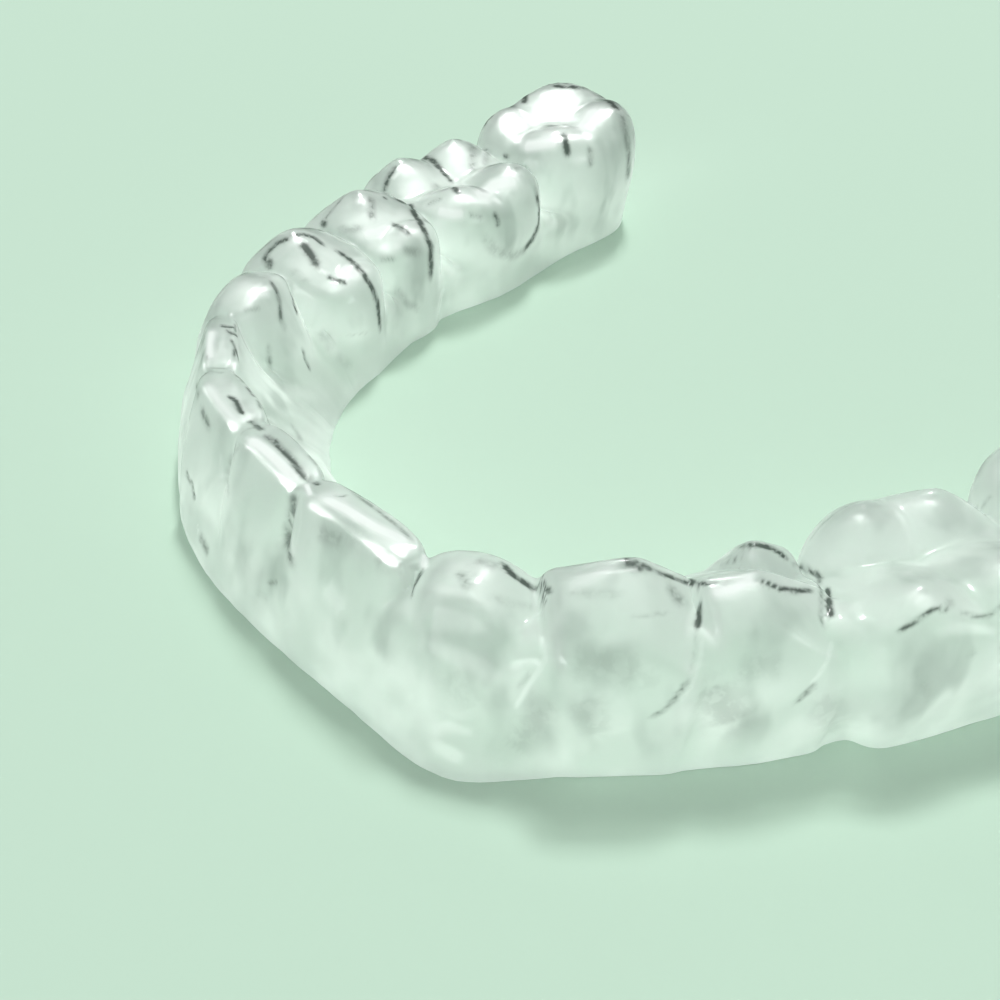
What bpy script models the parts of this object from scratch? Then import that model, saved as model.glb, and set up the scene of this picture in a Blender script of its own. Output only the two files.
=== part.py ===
"""Clear dental aligner, one thermoformed sheet for a whole dental arch.

The sheet is drawn over the crowns of fourteen teeth and trimmed level along the
gum.  It lies on its trimmed edge with the biting surfaces up: +Z up, the front
teeth towards -Y, the molars towards +Y, X across the arch, origin at the centre
of the outline on the plane it rests on.

The outer face is a level set of a field built from one crown per tooth and a gum
band.  A plane is swept along the arch, rays leave its foot on the resting plane
through half a turn, and each ray gives one outer and one inner point.  Past each
end of the arch the plane tips over until it lies flat, which closes the sheet
behind the last molar.
"""
import math

import bpy
import numpy as np

# ------------------------------------------------------------ driving sizes
MM = 0.001            # the tables below are in millimetres
WALL = 0.70           # sheet thickness
ORIGIN = (-0.518, 20.587)   # centre of the outline, from the arch's front middle
ROWS_PER_TOOTH = 9    # planes across a 7 mm tooth
CAP_ROWS = 6          # planes that tip over at each end
COLUMNS = 19          # points across a section
MARGIN = 0.40         # blend between crown and gum
SHARPER = 0.55        # share of each blend that the inner face keeps
SWEEP_FROM, SWEEP_TO = -54.6, 47.2   # arc length where the end caps begin

# heading of the arch (degrees) against arc length from its front middle
HEADING_AT = [0, 3.76, 7.52, 11.28, 15.04, 18.8, 22.56, 26.32, 30.08, 33.84, 37.6, 45, 62]
HEADING = [0, 4.5, 8.0, 20.3, 38.9, 54.7, 63.3, 66.4, 69.4, 73.0, 76.0, 78.0, 80.0]

# crown sections: height, reach outwards, reach inwards, share of half width
SECTION = {
    "incisor": ([0, 2.0, 3.5, 5.0, 6.5, 7.6, 8.3, 10.5],
                [3.7, 3.5, 3.2, 2.65, 2.0, 1.5, 1.2, 1.0],
                [4.3, 3.9, 3.0, 2.0, 1.35, 1.05, 0.9, 0.85],
                [.70, .76, .84, .92, .98, 1.0, .99, .95]),
    "canine": ([0, 2, 4, 6, 8, 9.6, 12],
               [4.2, 4.2, 4.0, 3.4, 2.4, 1.6, 1.0],
               [4.6, 4.3, 3.6, 2.7, 1.9, 1.3, 1.0],
               [.74, .80, .92, 1.0, .97, .9, .8]),
    "premolar": ([0, 2, 4, 6, 7.5, 9, 12],
                 [4.5, 4.7, 4.7, 4.3, 3.7, 3.0, 2.0],
                 [4.5, 4.6, 4.7, 4.5, 4.0, 3.3, 2.4],
                 [.80, .86, .95, 1.0, 1.0, .97, .92]),
    "molar": ([0, 2, 4, 6, 7.5, 9, 12],
              [5.0, 5.3, 5.5, 5.2, 4.7, 4.1, 3.2],
              [5.0, 5.3, 5.7, 5.6, 5.1, 4.4, 3.4],
              [.90, .94, .98, 1.0, .98, .94, .88]),
}
SECTION_TOP = {"incisor": 8.3, "canine": 9.6, "premolar": 9.0, "molar": 9.0}
# how square a crown is seen from above, outwards and inwards: 2 is an ellipse
SQUARE = {"incisor": (4.0, 3.0), "canine": (3.2, 2.4), "premolar": (8.0, 2.6), "molar": (6.0, 3.0)}

# reach of the gum band on the resting plane, outwards and inwards
GUM_OUT_AT = [-62, -50, -40, -34, -28, -24, -20, -16, -13, -9.4, -7.7, -5.5, -2.8, .5, 4, 7, 9.5,
              11.1, 12.1, 13, 13.8, 14.4, 15, 16, 17.6, 19.1, 21.4, 24, 25.7, 27.7, 29.5, 34, 40, 55]
GUM_OUT = [5.0, 4.8, 4.6, 4.3, 4.1, 3.9, 3.5, 2.95, 3.0, 3.45, 3.85, 4.10, 4.25, 4.13, 4.0, 3.92, 4.05,
           4.45, 4.8, 5.12, 5.28, 5.26, 5.06, 4.64, 4.15, 4.03, 4.07, 4.2, 4.3, 4.12, 3.96, 4.3, 4.7, 5.0]
GUM_IN_AT = [-62, -54.4, -48.4, -45.6, -42.9, -40.4, -38.6, -36.8, -34.9, -31.8, -28.9, -25.7, -23.2,
             -20.1, -18.4, -14.1, -10.1, -7.6, 0, 7.6, 10, 14, 18, 23, 29, 32, 35, 40, 46, 55]
GUM_IN = [5.0, 5.1, 5.3, 5.55, 5.8, 5.8, 5.4, 4.95, 4.7, 5.03, 5.31, 5.65, 5.62,
          5.85, 6.08, 6.2, 5.86, 5.4, 4.9, 5.0, 5.2, 5.6, 5.8, 5.5, 5.3, 5.1, 4.9, 5.5, 5.5, 5.0]


def tooth(start, end, shift, height, kind, rounding, cusps=(), square=None, tip_radius=0.2, lean=0.0, thin=0.0,
          turn=0.0, ridge=0.25, crease=0.35, roof=False):
    """One crown: arc length it spans, shift outwards, height, and its cusps.

    A cusp is (place along the tooth as a share of its half width, positive
    towards the front; place across the arch; drop below the height; slope along;
    slope across).  A slope may be a pair: towards the front or outwards, then the
    other way.  turn swings the outer face outwards towards +s, ridge is the blend
    between cusps, crease the blend with the tooth before, roof makes the cusps
    pyramids instead of cones."""
    return dict(start=start, end=end, shift=shift, height=height, kind=kind, rounding=rounding,
                cusps=cusps, square=square or SQUARE[kind], tip=tip_radius, lean=lean, thin=thin,
                turn=turn, ridge=ridge, crease=crease, roof=roof)


TEETH = [
    tooth(-59.6, -47.2, -0.4, 10.4, "molar", 2.0,
          [(.5, 2.6, .7, .32, .36), (-.45, 2.4, 0, .32, .36), (.5, -3.4, .9, .34, .36),
           (-.45, -3.2, .5, .34, .36), (0, -.3, 1.5, .1, .1)], square=(2.6, 2.4), tip_radius=.5),
    tooth(-47.2, -36.0, -0.4, 9.0, "molar", 1.2,
          [(.42, 2.9, .1, .45, .5), (-.55, 2.5, .2, .45, .5), (.5, -3.4, .5, .42, .45),
           (-.5, -3.3, .5, .42, .45), (.92, -.3, 1.7, .2, .15), (-.92, -.3, 1.7, .2, .15)], crease=.35),
    tooth(-36.0, -29.0, -0.8, 9.2, "premolar", 1.1,
          [(-.05, .6, 0, .42, .5), (-.1, -3.4, 1.3, .35, .5), (-.85, -1, 2.0, .2, .15), (.85, -1, 2.0, .2, .15)],
          crease=.3),
    tooth(-29.0, -22.4, -1.2, 9.2, "premolar", 1.0,
          [(.05, .4, 0, .45, .52), (-.1, -3.6, 1.6, .35, .5), (-.85, -1.4, 2.2, .2, .15),
           (.85, -1.4, 2.2, .2, .15)], thin=0.35, crease=.3),
    tooth(-22.4, -15.9, -0.9, 8.8, "canine", 0.6, [(.1, .1, 0, .42, .25)], tip_radius=.6, thin=0.55, crease=.3),
    tooth(-15.9, -9.6, -0.75, 8.15, "incisor", 0.35, thin=0.3, lean=0.05, crease=.5),
    tooth(-9.6, -3.3, -0.05, 8.2, "incisor", 0.35, lean=0.08, crease=.5),
    tooth(-3.3, 3.0, 0.0, 8.25, "incisor", 0.35, lean=0.12, crease=.5),
    tooth(3.0, 10.7, 0.0, 8.3, "incisor", 0.35, lean=0.09, crease=.3),
    tooth(10.7, 16.7, -0.3, 8.0, "canine", 0.5, [(.05, -.3, 0, (.34, .72), .36)],
          tip_radius=.8, crease=.4),
    tooth(16.7, 23.3, -0.5, 9.4, "premolar", 0.7,
          [(-.21, -.5, .35, (.16, .60), (.45, 1.05)), (-.1, -3.2, 4.5, .5, .6), (.8, .2, 3.0, .3, .7),
           (-.8, .2, 2.5, .3, .7)], tip_radius=.15, turn=.05, ridge=.12, crease=.5, roof=True),
    tooth(23.3, 29.4, -0.3, 8.6, "premolar", 0.4,
          [(.18, .8, 0, (.08, .55), (.50, .85)), (-.25, -2.4, 1.1, (1.0, .5), (.6, 1.0)), (.85, .2, 2.4, .2, .7),
           (-.85, .2, 1.9, .3, .5)], thin=.7, turn=.05, ridge=.15, crease=.3, roof=True),
    tooth(29.4, 40.4, 0.0, 8.2, "molar", 1.2,
          [(.40, 2.9, .3, .45, .5), (-.5, 2.7, .3, .45, .5), (.25, -3.1, .3, (.75, .45), .65),
           (-.5, -3.1, .3, .42, .6), (.92, .6, 2.4, .3, .6), (-.92, -.3, 1.5, .2, .15)],
          square=(6.0, 1.8), crease=.3),
    tooth(40.4, 52.0, 0.0, 9.6, "molar", 1.9,
          [(.5, 2.6, .4, .36, .4), (-.45, 2.5, .1, .36, .4), (.5, -3.1, .3, .36, .4),
           (-.45, -3.0, .2, .36, .4), (0, -.3, 1.4, .1, .1)], square=(2.7, 2.5), tip_radius=.4, crease=.3),
]
CONTACTS = [t["start"] for t in TEETH] + [TEETH[-1]["end"]]
# height the gum reaches between the teeth at each contact, on the outer and the inner side
PAPILLA_OUT = [5.0, 5.5, 5.5, 5.5, 5.5, 5.2, 5.0, 5.0, 5.2, 6.4, 6.8, 7.2, 6.9, 6.0, 5.0]
PAPILLA_IN = [4.0, 4.3, 4.4, 4.4, 4.4, 4.6, 4.8, 4.8, 4.8, 4.6, 4.0, 3.8, 3.8, 4.2, 4.0]
MARGIN_OUT, MARGIN_IN = 3.1, 3.2     # height of the gum line at the middle of a tooth


# ------------------------------------------------------------ the arch curve
def arch_table(step=0.05):
    """Arc length, x, y and heading along the arch, from the heading knots."""
    s = np.arange(-66, 66 + step / 2, step)
    heading = np.sign(s) * np.interp(np.abs(s), HEADING_AT, HEADING)
    reach = int(2.4 / step)
    window = np.hanning(2 * reach + 1)
    heading = np.convolve(np.pad(heading, reach, mode="edge"), window / window.sum(), mode="valid")
    heading = np.radians(heading)
    x = np.concatenate([[0], np.cumsum((np.cos(heading[1:]) + np.cos(heading[:-1])) / 2 * step)])
    y = np.concatenate([[0], np.cumsum((np.sin(heading[1:]) + np.sin(heading[:-1])) / 2 * step)])
    middle = len(s) // 2
    return s, x - x[middle], y - y[middle], heading


ARCH = arch_table()


def arch_point(s):
    """Point on the arch and the unit tangent there."""
    at, x, y, heading = ARCH
    angle = np.interp(s, at, heading)
    return np.interp(s, at, x), np.interp(s, at, y), np.cos(angle), np.sin(angle)


def smooth_table(knots, values, n=241):
    """A section table: a smooth curve through its knots."""
    k, v = np.asarray(knots, float), np.asarray(values, float)
    slope = np.gradient(v, k)
    z = np.linspace(k[0], k[-1], n)
    i = np.clip(np.searchsorted(k, z, side="right") - 1, 0, len(k) - 2)
    h = k[i + 1] - k[i]
    t = (z - k[i]) / h
    out = ((2 * t**3 - 3 * t**2 + 1) * v[i] + (t**3 - 2 * t**2 + t) * h * slope[i]
           + (-2 * t**3 + 3 * t**2) * v[i + 1] + (t**3 - t**2) * h * slope[i + 1])
    return z, out


SECTION_TABLE = {k: [smooth_table(v[0], v[i]) for i in (1, 2, 3)] for k, v in SECTION.items()}


def face_table(side, s_step=0.5, z_step=0.25):
    """Reach of the crowns' outer (0) or inner (1) faces over arc length and height."""
    s = np.arange(-66, 66 + s_step / 2, s_step)
    z = np.arange(0, 12 + z_step / 2, z_step)
    middle = [(t["start"] + t["end"]) / 2 for t in TEETH]
    reach = []
    for t in TEETH:
        at, value = SECTION_TABLE[t["kind"]][side]
        r = np.interp(z * SECTION_TOP[t["kind"]] / t["height"], at, value)
        reach.append(r + t["shift"] if side == 0 else r - t["thin"] - t["shift"])
    reach = np.array(reach)
    return s[0], s_step, z_step, np.stack([np.interp(s, middle, reach[:, k]) for k in range(len(z))], 1)


FACES = [face_table(0), face_table(1)]


def face_reach(side, s, z):
    s0, s_step, z_step, table = FACES[side]
    u = np.clip((s - s0) / s_step, 0, table.shape[0] - 1.001)
    v = np.clip(z / z_step, 0, table.shape[1] - 1.001)
    i, j = u.astype(int), v.astype(int)
    u, v = u - i, v - j
    return ((table[i, j] * (1 - u) + table[i + 1, j] * u) * (1 - v)
            + (table[i, j + 1] * (1 - u) + table[i + 1, j + 1] * u) * v)


# ------------------------------------------------------------ the field
def smooth_max(a, b, k):
    h = np.maximum(k - np.abs(a - b), 0) / k
    return np.maximum(a, b) + h * h * k * 0.25


def smooth_min(a, b, k):
    return -smooth_max(-a, -b, k)


def slope(rate, away):
    if isinstance(rate, tuple):
        rate = np.where(away > 0, rate[0], rate[1])
    return rate * away


def crown(t, points, soft=1.0):
    """Signed distance, near enough, to one tooth's crown; soft scales its blends."""
    x, y, c, s = arch_point((t["start"] + t["end"]) / 2)
    dx = points[..., 0] - (x + s * t["shift"])
    dy = points[..., 1] - (y - c * t["shift"])
    z = points[..., 2]
    m = dx * c + dy * s + t["lean"] * (7.5 - z)      # along the arch
    b = dx * s - dy * c                              # outwards
    half = (t["end"] - t["start"]) / 2
    height = t["height"]
    zz = z * SECTION_TOP[t["kind"]] / height
    (z1, v1), (z2, v2), (z3, v3) = SECTION_TABLE[t["kind"]]
    out = np.interp(zz, z1, v1)
    inn = np.interp(zz, z2, v2) - t["thin"]
    wide = np.interp(zz, z3, v3) * half * 1.05
    middle, depth = (out - inn) / 2 + t["turn"] * m, (out + inn) / 2
    p = np.where(b > middle, t["square"][0], t["square"][1])
    u = np.maximum(np.abs(m) / wide, 1e-6)
    v = np.maximum(np.abs(b - middle) / depth, 1e-6)
    q = (u**p + v**p) ** (1 / p)
    grad = q ** (1 - p) * np.sqrt((u ** (p - 1) / wide) ** 2 + (v ** (p - 1) / depth) ** 2)
    side = (q - 1) / np.maximum(grad, 0.05)
    if t["kind"] == "incisor":
        top = height - 0.25 * (np.abs(m) / half) ** 4
    else:
        forward = m if t["start"] + t["end"] < 0 else -m
        top = None
        for along, across, drop, slope_m, slope_b in t["cusps"]:
            fm = slope(slope_m, forward - along * half)
            fb = slope(slope_b, b + t["shift"] - across)
            if t["roof"]:
                cone = (height - drop + 2 * t["tip"]
                        - np.sqrt(fm**2 + t["tip"] ** 2) - np.sqrt(fb**2 + t["tip"] ** 2))
            else:
                cone = height - drop + t["tip"] - np.sqrt(fm**2 + fb**2 + t["tip"] ** 2)
            top = cone if top is None else smooth_max(top, cone, t["ridge"])
    return smooth_max(side, (z - top) * 0.93, t["rounding"] * soft)


def gum(s, b, beyond, z):
    """Signed distance, near enough, to the gum band with its root bulges and papillae."""
    c = np.array(CONTACTS)
    i = np.clip(np.searchsorted(c, s, side="right") - 1, 0, len(TEETH) - 1)
    share = np.clip((s - c[i]) / (c[i + 1] - c[i]), 0, 1)
    bulge = np.sin(np.pi * share)
    lip = (np.exp(-((np.sign(c[i]) * (s - c[i]) + 0.7) / 0.8) ** 2)
           + np.exp(-((np.sign(c[i + 1]) * (s - c[i + 1]) + 0.7) / 0.8) ** 2))
    root = 0.26 * (bulge - 0.62) * np.clip(z / 1.5, 0, 1)
    follow = np.clip(z / 3.2, 0, 1)
    follow = follow * follow * (3 - 2 * follow)
    step = 0.09 + 0.26 * lip
    out = np.interp(s, GUM_OUT_AT, GUM_OUT) + root - 0.05 * z
    inn = np.interp(s, GUM_IN_AT, GUM_IN) + root - 0.10 * z
    out += (face_reach(0, s, z) - step - out) * follow
    inn += (face_reach(1, s, z) - step - 0.15 - inn) * follow
    middle, depth = (out - inn) / 2, (out + inn) / 2
    side = (np.sqrt(((b - middle) / depth) ** 2 + (np.maximum(beyond, 0) / depth) ** 2) - 1) * depth
    across = np.clip((b - middle) / depth, -1, 1)
    blend = np.clip(across * 0.9 + 0.5, 0, 1)
    blend = blend * blend * (3 - 2 * blend)
    arch = bulge ** 0.7
    wide = bulge ** 3
    top_out = np.interp(s, CONTACTS, PAPILLA_OUT) * (1 - wide) + MARGIN_OUT * wide
    top_in = np.interp(s, CONTACTS, PAPILLA_IN) * (1 - arch) + MARGIN_IN * arch
    top = top_in + (top_out - top_in) * blend
    return smooth_max(side, (z - top) * 0.9, 1.1)


def field(s, b, beyond, points, near, soft=1.0):
    crowns = None
    for i in near:
        f = crown(TEETH[i], points, soft)
        crowns = f if crowns is None else smooth_min(crowns, f, TEETH[i]["crease"] * soft)
    return smooth_min(gum(s, b, beyond, points[..., 2]), crowns, MARGIN * soft)


# ------------------------------------------------------------ the sweep
def planes(per_tooth, cap):
    """Arc length and tip angle of each plane, closer together at the contacts."""
    at = []
    for start, end in zip(CONTACTS[:-1], CONTACTS[1:]):
        n = max(4, int(round(per_tooth * (end - start) / 7.0)))
        k = np.arange(n) / n
        at += list(start + (end - start) * (0.55 * (1 - np.cos(np.pi * k)) / 2 + 0.45 * k))
    at = [s for s in at if SWEEP_FROM + 0.2 < s < SWEEP_TO - 0.2]
    return ([(SWEEP_FROM, a) for a in np.linspace(-90, 0, cap + 1)] + [(s, 0.0) for s in at]
            + [(SWEEP_TO, a) for a in np.linspace(0, 90, cap + 1)])


def plane_axes(rows):
    s = np.array([r[0] for r in rows])
    tip = np.radians([r[1] for r in rows])
    x, y, c, sn = arch_point(s)
    zero = np.zeros_like(x)
    foot = np.stack([x, y, zero], -1)
    outward = np.stack([sn, -c, zero], -1)
    along = np.stack([c, sn, zero], -1)
    up = np.stack([c * np.sin(tip), sn * np.sin(tip), np.cos(tip)], -1)
    return s, foot, outward, along, up


def on_rays(rows, angle, radius):
    s, foot, outward, along, up = plane_axes(rows)
    ray = np.cos(angle)[..., None] * outward[:, None, :] + np.sin(angle)[..., None] * up[:, None, :]
    return foot[:, None, :] + radius[..., None] * ray


def solve(rows, angle, level, steps=26, coarse=40):
    """Radius on every ray where the field last crosses a level; the inner face is the sharper one."""
    soft = 1.0 if level == 0 else SHARPER
    s, foot, outward, along, up = plane_axes(rows)
    radius = np.zeros(angle.shape)
    for i in range(0, len(rows), 16):
        sl = slice(i, min(i + 16, len(rows)))
        near = [k for k, t in enumerate(TEETH)
                if t["start"] - 7.5 < s[sl].max() and t["end"] + 7.5 > s[sl].min()]
        a = angle[sl]
        ray = np.cos(a)[..., None] * outward[sl][:, None, :] + np.sin(a)[..., None] * up[sl][:, None, :]
        base, tangent = foot[sl][:, None, :], along[sl][:, None, :]
        ss = np.broadcast_to(s[sl][:, None], a.shape)

        def value(r):
            offset = r[..., None] * ray
            return field(ss, r * np.cos(a), np.abs(np.sum(offset * tangent, -1)), base + offset, near, soft)

        radii = np.linspace(2.0, 12.5, coarse)
        last = np.zeros(a.shape, int)
        for j, r in enumerate(radii):
            last = np.where(value(np.full(a.shape, r)) < level, j, last)
        low, high = radii[last], radii[np.minimum(last + 1, coarse - 1)]
        for _ in range(steps):
            mid = (low + high) / 2
            inside = value(mid) < level
            low, high = np.where(inside, mid, low), np.where(inside, high, mid)
        radius[sl] = (low + high) / 2
    return radius


def spread_angles(rows, columns, fine=121):
    """Ray angles that space the points evenly along each section, closer where it bends."""
    angle = np.broadcast_to(np.linspace(0, np.pi, fine), (len(rows), fine)).copy()
    points = on_rays(rows, angle, solve(rows, angle, 0.0, steps=14))
    step = np.diff(points, axis=1)
    length = np.linalg.norm(step, axis=2)
    step = step / np.maximum(length[..., None], 1e-9)
    turn = np.arccos(np.clip(np.sum(step[:, 1:] * step[:, :-1], -1), -1, 1))
    weight = length.copy()
    weight[:, 1:] += 0.45 * turn
    weight[:, :-1] += 0.45 * turn
    for _ in range(2):
        w = np.pad(weight, 1, mode="edge")
        weight = (w[1:-1, 1:-1] * 4 + (w[:-2, 1:-1] + w[2:, 1:-1] + w[1:-1, :-2] + w[1:-1, 2:]) * 2
                  + w[:-2, :-2] + w[:-2, 2:] + w[2:, :-2] + w[2:, 2:]) / 16
    total = np.concatenate([np.zeros((len(rows), 1)), np.cumsum(weight, 1)], 1)
    total /= total[:, -1:]
    share = np.linspace(0, 1, columns)
    return np.stack([np.interp(share, total[i], angle[i]) for i in range(len(rows))])


def shell_mesh(per_tooth, cap, columns):
    """Vertices (mm) and faces of the closed sheet: outer face, inner face, trimmed edge."""
    rows = planes(per_tooth, cap)
    angle = spread_angles(rows, columns)
    tip = [r[1] for r in rows]
    upright = [i for i, a in enumerate(tip) if a == 0]
    first, last = upright[0], upright[-1]
    verts, tables = [], []
    for level in (0.0, -WALL):
        points = on_rays(rows, angle, solve(rows, angle, level))
        table = np.zeros(angle.shape, int)
        for i in range(len(rows)):
            for j in range(columns):
                if j in (0, columns - 1) and i != min(max(i, first), last):
                    continue
                table[i, j] = len(verts)
                x, y, z = points[i, j]
                flat = j in (0, columns - 1) or i in (0, len(rows) - 1)
                verts.append((x, y, 0.0 if flat else z))
        for j in (0, columns - 1):      # the end planes hinge on the last upright one
            table[:first, j] = table[first, j]
            table[last + 1:, j] = table[last, j]
        tables.append(table)
    faces = []

    def face(*ids):
        ids = [v for k, v in enumerate(ids) if v not in ids[:k]]
        if len(ids) > 2:
            faces.append(ids)

    outer, inner = tables
    for i in range(len(rows) - 1):
        for j in range(columns - 1):
            face(outer[i, j], outer[i + 1, j], outer[i + 1, j + 1], outer[i, j + 1])
            face(inner[i, j], inner[i, j + 1], inner[i + 1, j + 1], inner[i + 1, j])

    def rim(table):
        return (list(table[first:last + 1, 0]) + list(table[-1, 1:-1])
                + list(table[first:last + 1, -1][::-1]) + list(table[0, 1:-1][::-1]))

    a, b = rim(outer), rim(inner)
    for k in range(len(a)):
        n = (k + 1) % len(a)
        face(a[k], b[k], b[n], a[n])
    return verts, faces


# ------------------------------------------------------------ the part
def main():
    for obj in list(bpy.data.objects):
        bpy.data.objects.remove(obj, do_unlink=True)
    verts, faces = shell_mesh(ROWS_PER_TOOTH, CAP_ROWS, COLUMNS)
    mesh = bpy.data.meshes.new("aligner_shell")
    mesh.from_pydata([((x - ORIGIN[0]) * MM, (y - ORIGIN[1]) * MM, z * MM) for x, y, z in verts],
                     [], [[int(v) for v in f] for f in faces])
    mesh.update()
    mesh.shade_smooth()
    mesh.set_sharp_from_angle(angle=math.radians(60))
    shell = bpy.data.objects.new("aligner_shell", mesh)
    bpy.context.scene.collection.objects.link(shell)

    clear = bpy.data.materials.new("clear_plastic")
    clear.use_nodes = True
    bsdf = clear.node_tree.nodes["Principled BSDF"]
    bsdf.inputs["Base Color"].default_value = (0.80, 0.88, 0.83, 1.0)
    bsdf.inputs["Roughness"].default_value = 0.10
    bsdf.inputs["Metallic"].default_value = 0.0
    bsdf.inputs["Transmission Weight"].default_value = 0.9
    mesh.materials.append(clear)


main()
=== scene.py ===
"""Clear dental aligner: the thermoformed sheet at full detail, with its finish, on a plain pale floor.

The sheet is the same surface as the model's, with far more points: a field built
from one crown per tooth and a gum band, met by rays from the arch.
"""
import math

import bpy
import numpy as np
from mathutils import Matrix, Vector


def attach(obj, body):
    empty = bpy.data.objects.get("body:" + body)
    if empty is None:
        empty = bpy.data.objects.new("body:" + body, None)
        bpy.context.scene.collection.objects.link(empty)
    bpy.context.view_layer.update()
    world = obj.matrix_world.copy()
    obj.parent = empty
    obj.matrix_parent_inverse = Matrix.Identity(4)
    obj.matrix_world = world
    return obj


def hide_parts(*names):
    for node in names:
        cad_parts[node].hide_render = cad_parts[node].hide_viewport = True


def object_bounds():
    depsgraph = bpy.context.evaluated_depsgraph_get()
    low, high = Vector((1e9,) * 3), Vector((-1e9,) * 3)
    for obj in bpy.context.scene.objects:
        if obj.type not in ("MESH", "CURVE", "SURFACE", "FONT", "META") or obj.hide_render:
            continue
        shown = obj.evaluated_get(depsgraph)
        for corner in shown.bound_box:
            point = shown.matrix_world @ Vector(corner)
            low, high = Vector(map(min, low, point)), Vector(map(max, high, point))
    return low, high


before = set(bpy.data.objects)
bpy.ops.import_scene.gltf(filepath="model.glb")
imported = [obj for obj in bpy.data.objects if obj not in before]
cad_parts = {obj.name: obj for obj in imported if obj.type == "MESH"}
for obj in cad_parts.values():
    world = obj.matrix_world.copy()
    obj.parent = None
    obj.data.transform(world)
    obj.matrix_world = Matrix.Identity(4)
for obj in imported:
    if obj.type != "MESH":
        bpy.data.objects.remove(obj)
CAD_BOX = [list(corner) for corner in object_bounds()]

MM = 0.001
WALL = 0.70           # sheet thickness
ORIGIN = (-0.518, 20.587)   # centre of the outline, from the arch's front middle
MARGIN = 0.40         # blend between crown and gum
SHARPER = 0.55        # share of each blend that the inner face keeps
SWEEP_FROM, SWEEP_TO = -54.6, 47.2   # arc length where the end caps begin

# heading of the arch (degrees) against arc length from its front middle
HEADING_AT = [0, 3.76, 7.52, 11.28, 15.04, 18.8, 22.56, 26.32, 30.08, 33.84, 37.6, 45, 62]
HEADING = [0, 4.5, 8.0, 20.3, 38.9, 54.7, 63.3, 66.4, 69.4, 73.0, 76.0, 78.0, 80.0]

# crown sections: height, reach outwards, reach inwards, share of half width
SECTION = {
    "incisor": ([0, 2.0, 3.5, 5.0, 6.5, 7.6, 8.3, 10.5],
                [3.7, 3.5, 3.2, 2.65, 2.0, 1.5, 1.2, 1.0],
                [4.3, 3.9, 3.0, 2.0, 1.35, 1.05, 0.9, 0.85],
                [.70, .76, .84, .92, .98, 1.0, .99, .95]),
    "canine": ([0, 2, 4, 6, 8, 9.6, 12],
               [4.2, 4.2, 4.0, 3.4, 2.4, 1.6, 1.0],
               [4.6, 4.3, 3.6, 2.7, 1.9, 1.3, 1.0],
               [.74, .80, .92, 1.0, .97, .9, .8]),
    "premolar": ([0, 2, 4, 6, 7.5, 9, 12],
                 [4.5, 4.7, 4.7, 4.3, 3.7, 3.0, 2.0],
                 [4.5, 4.6, 4.7, 4.5, 4.0, 3.3, 2.4],
                 [.80, .86, .95, 1.0, 1.0, .97, .92]),
    "molar": ([0, 2, 4, 6, 7.5, 9, 12],
              [5.0, 5.3, 5.5, 5.2, 4.7, 4.1, 3.2],
              [5.0, 5.3, 5.7, 5.6, 5.1, 4.4, 3.4],
              [.90, .94, .98, 1.0, .98, .94, .88]),
}
SECTION_TOP = {"incisor": 8.3, "canine": 9.6, "premolar": 9.0, "molar": 9.0}
# how square a crown is seen from above, outwards and inwards: 2 is an ellipse
SQUARE = {"incisor": (4.0, 3.0), "canine": (3.2, 2.4), "premolar": (8.0, 2.6), "molar": (6.0, 3.0)}

# reach of the gum band on the resting plane, outwards and inwards
GUM_OUT_AT = [-62, -50, -40, -34, -28, -24, -20, -16, -13, -9.4, -7.7, -5.5, -2.8, .5, 4, 7, 9.5,
              11.1, 12.1, 13, 13.8, 14.4, 15, 16, 17.6, 19.1, 21.4, 24, 25.7, 27.7, 29.5, 34, 40, 55]
GUM_OUT = [5.0, 4.8, 4.6, 4.3, 4.1, 3.9, 3.5, 2.95, 3.0, 3.45, 3.85, 4.10, 4.25, 4.13, 4.0, 3.92, 4.05,
           4.45, 4.8, 5.12, 5.28, 5.26, 5.06, 4.64, 4.15, 4.03, 4.07, 4.2, 4.3, 4.12, 3.96, 4.3, 4.7, 5.0]
GUM_IN_AT = [-62, -54.4, -48.4, -45.6, -42.9, -40.4, -38.6, -36.8, -34.9, -31.8, -28.9, -25.7, -23.2,
             -20.1, -18.4, -14.1, -10.1, -7.6, 0, 7.6, 10, 14, 18, 23, 29, 32, 35, 40, 46, 55]
GUM_IN = [5.0, 5.1, 5.3, 5.55, 5.8, 5.8, 5.4, 4.95, 4.7, 5.03, 5.31, 5.65, 5.62,
          5.85, 6.08, 6.2, 5.86, 5.4, 4.9, 5.0, 5.2, 5.6, 5.8, 5.5, 5.3, 5.1, 4.9, 5.5, 5.5, 5.0]


def tooth(start, end, shift, height, kind, rounding, cusps=(), square=None, tip_radius=0.2, lean=0.0, thin=0.0,
          turn=0.0, ridge=0.25, crease=0.35, roof=False):
    """One crown: arc length it spans, shift outwards, height, and its cusps.

    A cusp is (place along the tooth as a share of its half width, positive
    towards the front; place across the arch; drop below the height; slope along;
    slope across).  A slope may be a pair: towards the front or outwards, then the
    other way.  turn swings the outer face outwards towards +s, ridge is the blend
    between cusps, crease the blend with the tooth before, roof makes the cusps
    pyramids instead of cones."""
    return dict(start=start, end=end, shift=shift, height=height, kind=kind, rounding=rounding,
                cusps=cusps, square=square or SQUARE[kind], tip=tip_radius, lean=lean, thin=thin,
                turn=turn, ridge=ridge, crease=crease, roof=roof)


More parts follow.
